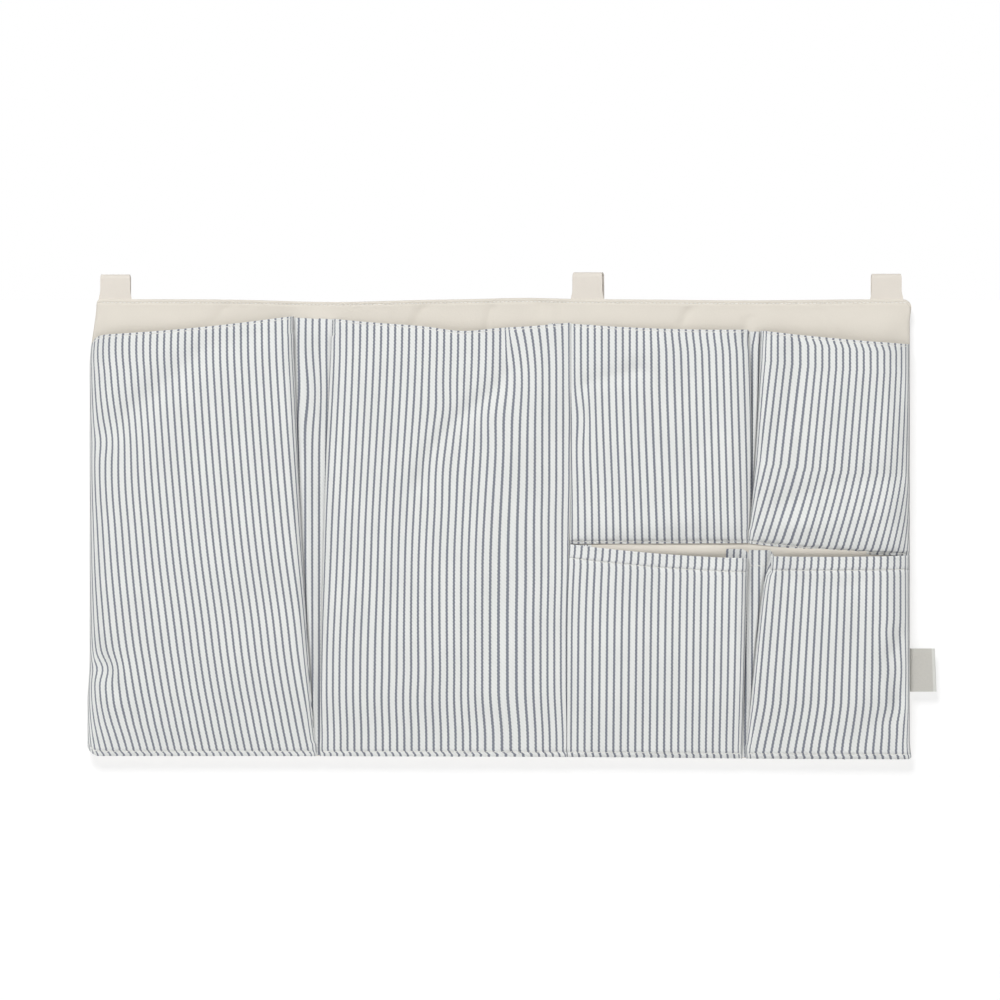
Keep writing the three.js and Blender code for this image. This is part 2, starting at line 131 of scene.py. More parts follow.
def settled(x, z):
    """Where cloth cut at x, z lies now: the sewn panel isn't quite the rectangle it was cut to. Its
    upper left is drawn in, its lower right flares, its top sags between the straps and its foot
    slants, and the seam between the two inner columns leans."""
    left = limited(-x / 300) ** 3
    right = limited(x / 300) ** 3
    low = limited((PANEL_TOP - z) / -PANEL_BOTTOM)
    drawn_in = 5.0 * (1 - eased((PANEL_TOP - z) / 48)) - 1.6 * eased((low - 0.76) / 0.1)
    flared = 1.8 * eased((low - 0.93) / 0.06) - 1.7 * eased(low / 0.05)
    top = limited(1 - (PANEL_TOP - z) / 14)
    sag = 2.0 * hump(x + 122, 55) - 1.0 * hump(x - 18, 30) + 0.8 * hump(x - 178, 60)
    lift = 1.2 * limited(1.3 - (x + 300) / 400) - 1.5 * eased(x / 300)
    lean = 3.0 * hump(x - 51, 55) * eased((low - 0.37) / 0.34)
    return x + left * drawn_in + right * flared - lean, z - top * sag + (1 - top) * low**4 * lift


def handed_over(piece, slot, body, *nodes):
    """Hides the CAD nodes that the piece replaces and moves it with its body. The slot is not used."""
    if nodes:
        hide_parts(*nodes)
    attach(piece, body)


def choose(piece):
    bpy.ops.object.select_all(action="DESELECT")
    piece.select_set(True)
    bpy.context.view_layer.objects.active = piece


def editing(on):
    bpy.ops.object.mode_set(mode="EDIT" if on else "OBJECT")


def face_outwards(piece):
    choose(piece)
    editing(True)
    bpy.ops.mesh.select_all(action="SELECT")
    bpy.ops.mesh.remove_doubles(threshold=0.01 * MM)
    bpy.ops.mesh.normals_make_consistent(inside=False)
    editing(False)


def smooth_faces(piece, degrees=50):
    choose(piece)
    bpy.ops.object.shade_smooth_by_angle(angle=math.radians(degrees))


def in_scene(name, data):
    thing = bpy.data.objects.new(name, data)
    bpy.context.scene.collection.objects.link(thing)
    return thing


def placed(name, corners, faces, finish):
    """A piece from corners in millimetres."""
    mesh = bpy.data.meshes.new(name)
    mesh.from_pydata([[MM * c for c in corner] for corner in corners], [], faces)
    mesh.materials.append(finish)
    return in_scene(name, mesh)


def grid_faces(rows, columns, start=0):
    return [
        (start + i, start + i + 1, start + i + columns + 1, start + i + columns)
        for row in range(rows - 1)
        for i in range(row * columns, (row + 1) * columns - 1)
    ]


def stops(length, from_start, from_end, step):
    """Distances along a length: close together at both ends, and in even steps between."""
    low, high = from_start[-1], length - from_end[-1]
    count = max(round((high - low) / step), 1)
    between = [mixed(low, high, i / count) for i in range(1, count)]
    return [*from_start, *between, *(length - d for d in reversed(from_end))]


def add(tree, kind, inputs=None, **settings):
    """A shader node with its settings, and with values or other nodes' sockets on its inputs."""
    node = tree.nodes.new("ShaderNode" + kind)
    for key, value in settings.items():
        setattr(node, key, value)
    for place, value in (inputs or {}).items():
        if isinstance(value, bpy.types.NodeSocket):
            tree.links.new(value, node.inputs[place])
        else:
            node.inputs[place].default_value = value
    return node


def sums(tree, operation, first, second=0.0):
    return add(tree, "Math", {0: first, 1: second}, operation=operation).outputs[0]


def product(tree, first, second):
    return sums(tree, "MULTIPLY", first, second)


def halved(tree, wave):
    """A wave from -1 to 1, moved to run from 0 to 1."""
    return product(tree, sums(tree, "ADD", wave, 1.0), 0.5)


def speckle(tree, place, scale, detail):
    inputs = {"Vector": place, "Scale": scale, "Detail": detail}
    return add(tree, "TexNoise", inputs).outputs["Fac"]


def linear(colour):
    """The shader's own values for a colour as it looks on a screen, from 0 to 1."""
    return [*(((c + 0.055) / 1.055) ** 2.4 if c > 0.04 else c / 12.92 for c in colour), 1.0]


def new_finish(name, roughness, sheen):
    finish = bpy.data.materials.new(name)
    finish.use_nodes = True
    shader = finish.node_tree.nodes["Principled BSDF"]
    shader.inputs["Roughness"].default_value = roughness
    shader.inputs["Specular IOR Level"].default_value = 0.15
    shader.inputs["Sheen Weight"].default_value = sheen
    shader.inputs["Sheen Roughness"].default_value = 0.6
    return finish, finish.node_tree, shader


def mingled(tree, share, first, second, **settings):
    """Two colours mixed, all of the second where share is 1."""
    return add(tree, "Mix", {0: share, 6: first, 7: second}, data_type="RGBA", **settings).outputs[2]


def multiplied(tree, tone, shade):
    """The tone darkened by a shade."""
    return mingled(tree, 1.0, tone, shade, blend_type="MULTIPLY")


def covered(tree, shader, tone, height, strength, distance):
    """Puts a colour and a bump on the finish."""
    tree.links.new(tone, shader.inputs["Base Color"])
    bump = add(tree, "Bump", {"Height": height, "Strength": strength, "Distance": distance})
    tree.links.new(bump.outputs[0], shader.inputs["Normal"])


def tinted(tree, colour, share, light, dark):
    """The colour, from a lighter to a darker shade of it as share goes from 0 to 1."""
    shades = [[limited(c * level) for c in colour[:3]] + [1.0] for level in (light, dark)]
    return mingled(tree, share, *shades)


def plain_weave(name, colour, thread=0.45, depth=0.00009):
    """Plain woven cotton: threads over and under, with slubs and faintly uneven dye, and a painted shade
    where the threads dip under.
    """
    finish, tree, shader = new_finish(name, 0.95, 0.1)
    place = add(tree, "TexCoord").outputs["Object"]
    per_thread = (math.pi / (thread * MM),) * 3
    scaled = add(tree, "VectorMath", {0: place, 1: per_thread}, operation="MULTIPLY")
    parts = add(tree, "SeparateXYZ", {0: scaled.outputs[0]})
    warp = sums(tree, "SINE", parts.outputs["X"])
    weft = sums(tree, "SINE", parts.outputs["Z"])
    weave = product(tree, warp, weft)
    slub, patch = speckle(tree, place, 700.0, 3.0), speckle(tree, place, 28.0, 4.0)
    uneven = sums(tree, "ADD", product(tree, slub, 0.5), product(tree, patch, 0.5))
    tone = tinted(tree, linear(colour), uneven, 1 + MOTTLE, 1 - MOTTLE)
    # painted shade: the weave's low parts are darkened by up to 5 per cent, as if shaded between the
    # threads
    tone = multiplied(tree, tone, tinted(tree, (1, 1, 1), halved(tree, weave), 0.95, 1.0))
    height = sums(tree, "ADD", weave, product(tree, slub, 1.5))
    covered(tree, shader, tone, height, 0.6, depth)
    return finish


cotton = plain_weave("unbleached_cotton", COTTON)


def band_crease(x, z):
    total = 0
    for top_x, top_z, low_x, low_z, depth in BAND_CREASES:
        share = (top_z - z) / (top_z - low_z)
        ends = eased((share + 0.2) / 0.4) * eased((1.2 - share) / 0.4)
        total += depth * ends * hump(x - mixed(top_x, low_x, share), 3.2)
    return total


def mouth_puff(x, z):
    """How far the wadding pushes the front cover out in the gap between the small pockets: less
    at its two ends, and where the seam between the lower pockets comes up to it."""
    held_in = 1 - 0.85 * hump(x - LOWER_SEAM, 20) * eased((LOWER_SEAM_TOP - z) / 4)
    ends = eased((x - 46) / 26) * eased((PANEL_RIGHT - x) / 14)
    return MOUTH_PUFF * hump(z - MOUTH_MIDDLE, 4.0) * ends * held_in


def panel_point(x, z, level, is_front):
    """A point of one cover: level is its height in the cut, before the round corners."""
    edge = min(x - PANEL_LEFT, PANEL_RIGHT - x, level - PANEL_BOTTOM, PANEL_TOP - level)
    rim = RIM_HALF * math.sqrt(1 - (1 - limited(edge / RIM_ROUND)) ** 2)
    near_top = PANEL_TOP - level - TOP_STITCH_DROP
    near_bottom = level - PANEL_BOTTOM - BOTTOM_STITCH_RISE
    stitched = 0.6 * (hump(near_top, 0.8) + hump(near_bottom, 0.9))
    gathers = 0.3 * (hump(near_top, 5) + hump(near_bottom, 5)) * ruffle(x, level, 5.5, 12, 3)
    soft = limited((edge - 3) / 12) * (0.5 * ruffle(x, z, 26, 60, 9) + 0.4 * ruffle(x, z, 70, 40, 5))
    out = rim - min(stitched, rim * 0.6) + limited(edge / 2) * (gathers + soft)
    if is_front:
        out += panel_swell(x, z) + mouth_puff(x, z) - band_crease(x, z)
    x, z = settled(x, z)
    return x, SEAM_PLANE + (-out if is_front else out), z


def panel_rows(is_front):
    width, height = PANEL_RIGHT - PANEL_LEFT, PANEL_TOP - PANEL_BOTTOM
    rows = []
    for up in stops(height, EDGE_STEPS, EDGE_STEPS, PANEL_STEP):
        level = PANEL_BOTTOM + up
        low, high = limited(1 - up / CORNER_BLEND), limited(1 - (height - up) / CORNER_BLEND)
        row = []
        for across in stops(width, EDGE_STEPS, EDGE_STEPS, PANEL_STEP):
            x = PANEL_LEFT + across
            z = level + low * (panel_bottom(x) - PANEL_BOTTOM) + high * (panel_top(x) - PANEL_TOP)
            row.append(panel_point(x, z, level, is_front))
        rows.append(row)
    return rows


front_rows, back_rows = panel_rows(True), panel_rows(False)
row_count, column_count = len(front_rows), len(front_rows[0])
panel = placed(
    "panel",
    [point for rows in (front_rows, back_rows) for row in rows for point in row],
    grid_faces(row_count, column_count)
    + [face[::-1] for face in grid_faces(row_count, column_count, row_count * column_count)],
    cotton,
)
face_outwards(panel)
smooth_faces(panel, 80)
handed_over(panel, "natural_cloth", "panel", "front_cover", "wadding", "back_cover")

# The pocket fronts: cotton twill with narrow woven stripes, cut wide, pleated at both sides and
# sewn down at the seams and the base. Each hangs in its own way, and its stripes with it.
FRONT_CLOTH = 0.8
CLEARANCE = 0.3
LINING_CLOTH = 0.5
PLEAT_CLOTH = 0.2
PLEAT_HEIGHT = 2.6
# How deep a pocket is, and how many degrees its mouth opens
LARGE, SMALL = (9.0, 6), (8.0, 10)
BASE_RISE, PLEAT_RISE = 6.0, 60.0
BOTTOM_BELLY, UPPER_BELLY = 110.0, 50.0
THIN_PLEAT = 1.3
UPPER_BULGE, UPPER_BULGE_RISE = 1.2, 14.0
OPEN_REACH = 30.0
CREASE_RELIEF = 1.8
# How a side lies: the radius of its roll, the cloth that goes on behind it, how far in from it
# the front has come out to its full depth, and how far the fold stands open
BORDER, SEAMED = (3.0, 0.6, 16.0, 0.0), (0.7, 0.3, 80.0, 0.0)
OPEN, PRESSED = (3.2, 2.4, 9.0, 3.4), (1.2, 0.6, 16.0, 0.4)
ROUND_EDGE, FLUSH = (-0.9, -0.9, 0, 0), (0.06, 0.06, 0, 0)
UPRIGHT_SEAMS = (-299.0, -133.0, 51.0, 181.0, 299.0)
UPPER_ROW_BASE = -187.4
TOP_CURL = 0.9
HEM_STITCH_DROP = 1.7
UPPER_STITCH_RISE = 1.6
TURNED_HEM = 10.0
# The stripes' small jogs at the base stitch and at the turned hem's, and the share of a front's
# height over which they bunch at its sides
JOG_RISE, JOG_LENGTH, TURNED_HEM_JOG, BUNCHED_TO = 4.8, 3.6, 0.45, 0.28
ROW_STEP, COLUMN_STEP = 2.6, 1.25
SIDE_STEPS = (1.1, 1.8, 2.7, 3.8, 5.2, 7, 9, 11.4)
HEM_STEPS = (0.8, 1.2, 1.6, 2.0, 2.5, 3.2, 4.2, 5.6, 7.4, 8.8, 9.4, 10, 10.6, 11.4)
BASE_STEPS = (0, 0.5, 1.1, 1.7, 2.3, 2.9, 3.5, 4.1, 4.8, 5.8, 7.2, 9)
STRIPE_PITCH = 5.1
STRIPE_SHARE, STRIPE_SOFT = 0.31, 0.02
TWILL_PITCH = 2.6
GROUND, STRIPE = (0.905, 0.91, 0.903), (0.50, 0.515, 0.555)


def on_cloth(tree):
    """A place on the cloth's own width and length, whole and in its two parts."""
    cloth = add(tree, "UVMap", uv_map="Cloth").outputs[0]
    parts = add(tree, "SeparateXYZ", {0: cloth})
    return cloth, parts.outputs["X"], parts.outputs["Y"]


def ribs(tree, position, spacing):
    """A wave along one axis of the cloth, once in each spacing, which is in millimetres."""
    return sums(tree, "SINE", product(tree, position, math.tau / (spacing * MM)))


def ramp(tree, value, start, end):
    """From 0 to 1 as the value goes from start to end."""
    return add(tree, "MapRange", {"Value": value, 1: start, 2: end, 3: 0.0, 4: 1.0}).outputs[0]


def ticking(name):
    """White twill with a thin blue-grey stripe, drawn on the cloth's own width and length, with a painted
    shade in the twill's valleys.
    """
    finish, tree, shader = new_finish(name, 0.9, 0.1)
    cloth, across, along = on_cloth(tree)
    twill = ribs(tree, sums(tree, "ADD", across, along), TWILL_PITCH)
    yarn, patch = speckle(tree, cloth, 900.0, 2.0), speckle(tree, cloth, 30.0, 4.0)
    count = sums(tree, "DIVIDE", across, STRIPE_PITCH * MM)
    off_middle = sums(tree, "PINGPONG", count, 0.5)
    ragged = sums(tree, "ADD", off_middle, product(tree, twill, 0.022))
    ragged = sums(tree, "ADD", ragged, product(tree, sums(tree, "SUBTRACT", yarn, 0.5), 0.05))
    half = STRIPE_SHARE / 2
    inside = ramp(tree, ragged, half + STRIPE_SOFT, half - STRIPE_SOFT)
    threads = add(tree, "VectorMath", {0: cloth, 1: (1.0, 0.02, 1.0)}, operation="MULTIPLY").outputs[0]
    warp = speckle(tree, threads, 1000.0, 1.0)
    patch = product(tree, sums(tree, "ADD", patch, warp), 0.5)
    ground = tinted(tree, linear(GROUND), patch, 1.1, 0.9)
    thread = tinted(tree, linear(STRIPE), yarn, 1.25, 0.8)
    cover = mingled(tree, inside, ground, thread)
    ridges = halved(tree, twill)
    # painted shade: the twill's valleys are darkened by up to 4.5 per cent, as if shaded between its ridges
    tone = multiplied(tree, cover, tinted(tree, (1, 1, 1), ridges, 0.955, 1.0))
    height = sums(tree, "ADD", ridges, product(tree, yarn, 0.8))
    covered(tree, shader, tone, height, 0.6, 0.0001)
    return finish


striped = ticking("striped_twill")


def seam_of(pocket, side):
    return UPRIGHT_SEAMS[pocket["seams"][side]]


def curve(heights, share):
    left, middle, right = heights
    outer = left * (1 - share) * (1 - 2 * share) + right * share * (2 * share - 1)
    return outer + 4 * middle * share * (1 - share)


def upper_base(slant):
    return lambda x, share: UPPER_ROW_BASE - curve(slant, share)


def bottom_base(x, share):
    return panel_bottom(x) - 0.3 + 0.35 * ruffle(x, 0, 1.7, 1, 8)


# How far the stripes have slid to the right, across a front from 0 to 1 and down it from 0 to 1
def large_left_slide(across, down):
    high = 1.6 * (1 - eased(across / 0.5)) * eased((down - 0.01) / 0.09) * (1 - eased((down - 0.42) / 0.2))
    low = 2.0 * eased((down - 0.74) / 0.2) + 0.6 * limited((down - 0.93) / 0.05)
    low += 0.9 * (0.4 + across) * hump(down - 0.68, 0.11)
    corner = 1.4 * limited((down - 0.92) / 0.06) - 1.2 * hump(down - 0.72, 0.1)
    return 12.4 * down + 20.4 * down**2 + high + low + corner * (1 - eased((across - 0.1) / 0.4))


def large_middle_slide(across, down):
    left = 1 - eased((across - 0.1) / 0.4)
    middle = 1 - eased((across - 0.62) / 0.28)
    slide = -7.5 * eased(down / 0.56) * middle - 2.8 * eased((down - 0.5) / 0.3) * left
    bunch = eased((across - 0.71) / 0.045) * limited((1 - across) / 0.28)
    slide -= 5.9 * bunch * limited(1 - down / 0.11) ** 1.7
    slide += 1.0 * hump(across - 0.09, 0.1) * hump(down - 0.4, 0.2)
    slide -= 1.2 * hump(across - 0.42, 0.12) * hump(down - 0.62, 0.2)
    slide += 1.0 * hump(across, 0.07) * eased(down / 0.1)
    slide -= 1.2 * hump(across - 0.38, 0.17) * eased((down - 0.78) / 0.12)
    right = 1.5 * eased((down - 0.42) / 0.2) + 0.8 * eased((down - 0.8) / 0.2)
    foot = (1.0 + 1.0 * hump(across - 0.68, 0.12)) * eased((down - 0.84) / 0.12)
    return slide + right * eased((across - 0.64) / 0.3) + foot


def upper_inner_slide(across, down):
    left = 4.2 * limited((down - 0.27) / 0.7) ** 1.2
    right = 1.2 * eased(down / 0.12) + 4.7 * down
    return mixed(left, right, eased((across - 0.35) / 0.3))


def upper_outer_slide(across, down):
    high = 2.2 * eased(down / 0.05) * eased((across - 0.15) / 0.2) * eased((1 - across) / 0.2)
    middle = (9.2 - 4.4 * across) * limited((down - 0.14) / 0.5)
    return high - middle - (14.7 - 2.0 * across) * limited((down - 0.62) / 0.35) ** 1.15


def lower_inner_slide(across, down):
    return -(1.5 + 0.6 * across) * down**0.6 - 1.0 * eased((across - 0.6) / 0.4) * down**2


def lower_outer_slide(across, down):
    return -(13.0 - 13.8 * across) * down - 3.9 * limited((down - 0.72) / 0.25) ** 1.3


def hem_under(level, heights, dips=()):
    """A hem's line below a level, with its dips: where, how wide and how deep."""
    return lambda share: level - curve(heights, share) - sum(
        depth * hump(share - place, width) for place, width, depth in dips
    )


# Seams. Where the stripes bunch at each side, and how far and over what width they gather there.
# How each side lies, and its fold's distance in from the seam: at the top, at the base, its bow
# and its flare at the mouth. Hem, base, slide, the jog of the stripes at the base stitch and their
# phase. The soft creases: their points in X and Z, height and width.
pockets = [
    {
        "name": "large_left", "seams": (0, 1), "lined": True, "size": LARGE,
        "bunched": (0, 2.2), "gathered": (7, 5, 1.5, 3),
        "sides": (BORDER, OPEN), "folds": (ROUND_EDGE, (18.6, 1.4, 2.2, 0)),
        "hem": lambda share: PANEL_TOP - curve((26.4, 21.2, 12.4), share) - 7 * math.exp(-share * 60),
        "base": bottom_base, "slide": large_left_slide, "jog": 2.2, "phase": 0.3,
        "creases": (
            (((-303, -118), (-262, -86), (-222, -52)), -1.7, 10),
            (((-299, -262), (-288, -276), (-279, -296)), -1.4, 6),
            (((-215, -45), (-160, -32), (-150, -24)), -0.7, 8),
            (((-220, -130), (-205, -190), (-195, -240)), -0.8, 22),
            (((-290, -335), (-230, -322), (-170, -333)), 0.6, 12),
        ),
    },
    {
        "name": "large_middle", "seams": (1, 2), "lined": True, "size": LARGE,
        "bunched": (0.5, 0), "gathered": (1.5, 3, 1.5, 2.5),
        "sides": (PRESSED, SEAMED), "folds": ((10.5, 1.0, -2.0, 0), FLUSH),
        "hem": hem_under(PANEL_TOP, (14.4, 20.0, 17.2), ((0.55, 0.13, 3.3), (0.8, 0.12, 0.8))),
        "base": bottom_base, "slide": large_middle_slide, "jog": 2.4, "phase": 0.1,
        "creases": (
            (((-0.7, -30), (7.3, -60), (-3.6, -76), (-32, -98), (-51, -121), (-59, -145)), -1.5, 7),
            (((-59, -145), (-66, -200), (-60, -260)), -0.9, 14),
            (((18, -90), (-8, -150), (-20, -230)), 1.2, 20),
            (((0, -235), (-15, -280), (-10, -320)), -0.7, 16),
        ),
    },
    {
        "name": "upper_inner", "seams": (2, 3), "lined": True, "size": SMALL,
        "bunched": (0, 0), "gathered": (1.5, 2.5, 1.5, 3),
        "sides": (SEAMED, PRESSED), "folds": (FLUSH, (0.5, 0.5, -2.4, 0)),
        "hem": hem_under(PANEL_TOP, (18, 21.7, 22.4)),
        "base": upper_base((0.5, 0.3, 0)), "slide": upper_inner_slide, "jog": 0.3, "phase": 0.6,
        "creases": (
            (((53, -75), (80, -66), (100, -62)), -1.3, 6),
            (((100, -62), (130, -80), (150, -110)), -0.9, 10),
            (((140, -170), (110, -178), (80, -180)), 0.6, 8),
        ),
    },
    {
        "name": "upper_outer", "seams": (3, 4), "lined": True, "size": SMALL,
        "bunched": (2.0, 0), "gathered": (1.5, 3, 5, 3.5),
        "sides": (OPEN, BORDER), "folds": ((8.5, -0.3, 1.5, 0), ROUND_EDGE),
        "hem": hem_under(PANEL_TOP, (23.1, 28.8, 33)),
        "base": upper_base((0, 6.2, 9.4)), "slide": upper_outer_slide, "jog": -1.6, "phase": 0.4,
        "creases": (
            (((217, -37), (214, -80), (197, -119)), -0.8, 9),
            (((262, -40), (285, -60), (292, -75)), -1.0, 9),
            (((205, -160), (240, -146), (290, -140)), -1.2, 8),
            (((214, -176), (250, -170), (285, -166)), 0.8, 7),
        ),
    },
    {
        "name": "lower_inner", "seams": (2, 3), "lined": False, "size": SMALL,
        "bunched": (0, 0.5), "gathered": (1.5, 2.5, 1.5, 3),
        "sides": (SEAMED, OPEN), "folds": (FLUSH, (0.8, 5.0, 0, 0)),
        "hem": hem_under(UPPER_ROW_BASE, (0.7, 7.6, 11)),
        "base": bottom_base, "slide": lower_inner_slide, "jog": 1.2, "phase": 0.2,
        "creases": (
            (((60, -215), (66, -270), (62, -320)), -0.5, 9),
            (((110, -225), (112, -260), (108, -300)), -0.5, 8),
            (((150, -225), (146, -250), (150, -290)), -0.5, 8),
        ),
    },
    {
        "name": "lower_outer", "seams": (3, 4), "lined": False, "size": SMALL,
        "bunched": (0, 0), "gathered": (1.5, 3, 5, 3.5),
        "sides": (OPEN, BORDER), "folds": ((13.0, -2.4, -1.0, 3.0), ROUND_EDGE),
        "hem": hem_under(UPPER_ROW_BASE, (9.5, 9.8, 8.9)),
        "base": bottom_base, "slide": lower_outer_slide, "jog": 1.3, "phase": 0.5,
        "creases": (
            (((296, -255), (284, -272), (292, -300)), -1.4, 7),
            (((210, -212), (240, -222), (262, -216)), -1.0, 8),
            (((205, -205), (198, -250), (188, -300)), -0.7, 9),
            (((270, -320), (286, -312), (298, -296)), -0.8, 8),
        ),
    },
]

# Small places where a crease has dragged the stripes sideways: X, Z, width, height, slide
drags = (
    (-284, -110, 22, 26, 2.6),
    (-291, -279, 11, 8, 4.6),
    (-284, -308, 12, 12, -1.2),
    (-290, -113, 10, 10, 1.2),
    (13, -73, 15, 18, 0.8),
    (-8, -94, 14, 18, -1.6),
    (-40, -89, 14, 14, 1.2),
    (-44, -134, 16, 20, -1.2),
    (58, -95, 7, 18, 2.0),
    (287, -252, 10, 7, -0.7),
    (287, -279, 11, 12, 1.2),
    (285, -318, 11, 8, -1.2),
    (184, -32, 8, 8, 2.6),
    (-138, -78, 9, 24, 2.4),
    (-146, -100, 5, 20, -1.0),
)


def dragged(x, z):
    return sum(by * hump(x - at_x, wide) * hump(z - at_z, high) for at_x, at_z, wide, high, by in drags)


def fold_line(pocket, side, share):
    top, base, bow, flare = pocket["folds"][side]
    inward = mixed(base, top, share) + bow * 4 * share * (1 - share) + flare * hump(1 - share, 0.1)
    return seam_of(pocket, side) + (inward if side == 0 else -inward)


def crease_height(pocket, x, z):
    total = 0
    place = Vector((x, z))
    for line, height, width in pocket["creases"]:
        nearest = 1e9
        for start, end in zip(line, line[1:]):
            start, along = Vector(start), Vector(end) - Vector(start)
            share = limited((place - start).dot(along) / along.length_squared)
            nearest = min(nearest, (place - start - along * share).length)
        total += height * hump(nearest, width)
    return total


def backing(pocket):
    return LINING_CLOTH if pocket["lined"] else FRONT_CLOTH + 0.1


def pleat_height(up):
    """The thickness of a folded pleat, which is pressed flat near the base seam."""
    return mixed(THIN_PLEAT, PLEAT_HEIGHT, eased(up / PLEAT_RISE))


def stand_off(pocket, x, z, asides, up, down):
    """How far the outer face of a front stands off the panel, with its hems and creases."""
    seed = 11 + pocket["seams"][0] * 7 + (0 if pocket["lined"] else 40)
    side = 3 * CLEARANCE + pleat_height(up) + backing(pocket)
    base = CLEARANCE + (CLEARANCE + LINING_CLOTH if pocket["lined"] else 0)
    wrap, lifted = 1, 0
    for aside, (_, _, full_depth, stands_open) in zip(asides, pocket["sides"]):
        wrap *= 1 - (1 - limited(aside / full_depth)) ** 2
        lifted += stands_open * eased(up / PLEAT_RISE) * limited(1 - aside / OPEN_REACH)
    rise = limited(up / BASE_RISE)
    sewn = mixed(base, side, rise * (2 - rise))
    is_bottom = pocket["base"] is bottom_base
    belly = eased(up / BOTTOM_BELLY) if is_bottom else 1 - (1 - limited(up / UPPER_BELLY)) ** 2
    soft = ruffle(x, z, 52, 90, seed) + 0.35 * ruffle(x, z, 17, 55, seed + 3)
    puffed = pocket["size"][0] - side + 0.9 * soft
    out = sewn + lifted + wrap * belly * puffed + FRONT_CLOTH
    creased = CREASE_RELIEF * crease_height(pocket, x, z)
    out += limited(up / 20) * limited(min(asides) / 9) * creased
    rise_of_stitch = BOTTOM_STITCH_RISE if is_bottom else UPPER_STITCH_RISE
    gathers = 1.1 * ruffle(x, z, 1.7, 5, seed + 5) + 0.6 * ruffle(x, z, 3.4, 8, seed + 6)
    out -= 0.75 * hump(up - rise_of_stitch, 0.8)
    if not is_bottom:
        out += UPPER_BULGE * hump(up - UPPER_BULGE_RISE, 9) * limited(min(asides) / 8)
    out += 0.8 * gathers * hump(up - rise_of_stitch, 4) * limited(up / 1.0)
    if pocket["lined"]:
        out -= 0.4 * hump(down - HEM_STITCH_DROP, 0.6)
        out += 0.4 * gathers * hump(down - HEM_STITCH_DROP, 3)
    else:
        out += 0.35 * eased((TURNED_HEM - down) / 0.8) - 0.8 * hump(down - TURNED_HEM, 0.7)
        out += 0.5 * gathers * hump(down - TURNED_HEM, 4) + 0.2 * hump(down - 1, 1)
    return out


def curled(over, radius):
    """How far cloth that goes over an edge has gone past it and back, by its length."""
    turn = min(over / radius, math.pi / 2)
    return radius * math.sin(turn), radius * (1 - math.cos(turn)) + over - turn * radius


def front_point(pocket, left_of, up_of, behind=0.0):
    """A point of a front, and of its cloth. Each of the two places is a distance from an edge or
    a share between two edges: ("low", 3.0), ("part", 0.5) or ("high", 3.0)."""
    def between(place, low, high, curl, inset):
        kind, value = place
        if kind == "part":
            return mixed(low + inset, high - inset, value), 0, 0
        over = max(curl - value, 0)
        past, back = curled(over, curl) if curl else (0, 0)
        inside = max(value, curl)
        return (low + inside - past, back, -over) if kind == "low" else (high - inside + past, back, over)

    side_inset, base_inset, hem_inset = SIDE_STEPS[-1], BASE_STEPS[-1], HEM_STEPS[-1]
    height = {"low": 0.0, "part": mixed(0.06, 0.94, up_of[1]), "high": 1.0}[up_of[0]]
    left, right = fold_line(pocket, 0, height), fold_line(pocket, 1, height)
    roll, beyond = pocket["sides"][1 if left_of[0] == "high" else 0][:2]
    x, side_back, side_over = between(left_of, left, right, roll, side_inset)
    share = limited((x - left) / (right - left))
    base, hem = pocket["base"](x, share), pocket["hem"](share)
    kind, value = up_of
    over = 0
    if kind == "part":
        z = mixed(base + base_inset, hem - hem_inset, value)
    elif kind == "low":
        z = base + value
    else:
        over = max(TOP_CURL - value, 0)
        z = hem - max(value, TOP_CURL)
    out = stand_off(pocket, x, z, (x - left, right - x), z - base, hem - z)
    side_back *= limited((out - 1.1) / (roll + beyond))
    past, top_back = curled(over, TOP_CURL)
    y = panel_face(x, z) - out + side_back + top_back + behind
    down = limited((hem - z) / (hem - base))
    slide = pocket["slide"](share, down)
    left_by, left_width, right_by, right_width = pocket["gathered"]
    left_more, right_more = (1 + more * (1 - eased(down / BUNCHED_TO)) for more in pocket["bunched"])
    slide += left_by * left_more * math.exp((left - x) / left_width)
    slide -= right_by * right_more * math.exp((x - right) / right_width)
    slide += dragged(x, z) + pocket["jog"] * eased((JOG_RISE - (z - base)) / JOG_LENGTH)
    if not pocket["lined"]:
        slide -= TURNED_HEM_JOG * hump(hem - z - TURNED_HEM, 1.8)
    cloth = (x + side_over - slide + pocket["phase"] * STRIPE_PITCH, z + over)
    x, z = settled(x, z + past)
    return (x, y, z), cloth


def front_sheet(pocket, columns, rows, behind=0.0):
    return [[front_point(pocket, column, row, behind) for column in columns] for row in rows]


def steps_between(length, low, high, step, low_curl, high_curl):
    """Places for front_point, from one edge to the other, with the curls past the edges."""
    count = max(round((length - low[-1] - high[-1]) / step), 1)
    return [
        *(("low", d) for d in (*low_curl, *low)),
        *(("part", i / count) for i in range(1, count)),
        *(("high", d) for d in reversed((*high_curl, *high))),
    ]


def quarter_round(radius, beyond):
    """Distances past an edge, negative as they lie beyond it, for cloth that curls round it."""
    full = radius * math.pi / 2 + beyond
    return tuple(radius - full * (1 - i / 5) for i in range(5))


def pocket_size(pocket):
    left, right = seam_of(pocket, 0), seam_of(pocket, 1)
    return right - left, pocket["hem"](0.5) - pocket["base"]((left + right) / 2, 0.5)


def apply_modifier(piece, kind, **settings):
    choose(piece)
    modifier = piece.modifiers.new(kind, kind)
    for key, value in settings.items():
        setattr(modifier, key, value)
    bpy.ops.object.modifier_apply(modifier=modifier.name)


def cloth_piece(name, rows, thickness, finish, offset=-1):
    """A sheet of cloth from rows of points with their place on the cloth."""
    columns = len(rows[0])
    flat = [pair for row in rows for pair in row]
    piece = placed(name, [point for point, _ in flat], grid_faces(len(rows), columns), finish)
    layer = piece.data.uv_layers.new(name="Cloth")
    for loop in piece.data.loops:
        layer.data[loop.index].uv = [MM * c for c in flat[loop.vertex_index][1]]
    apply_modifier(piece, "SOLIDIFY", thickness=thickness * MM, offset=offset)
    smooth_faces(piece)
    return piece


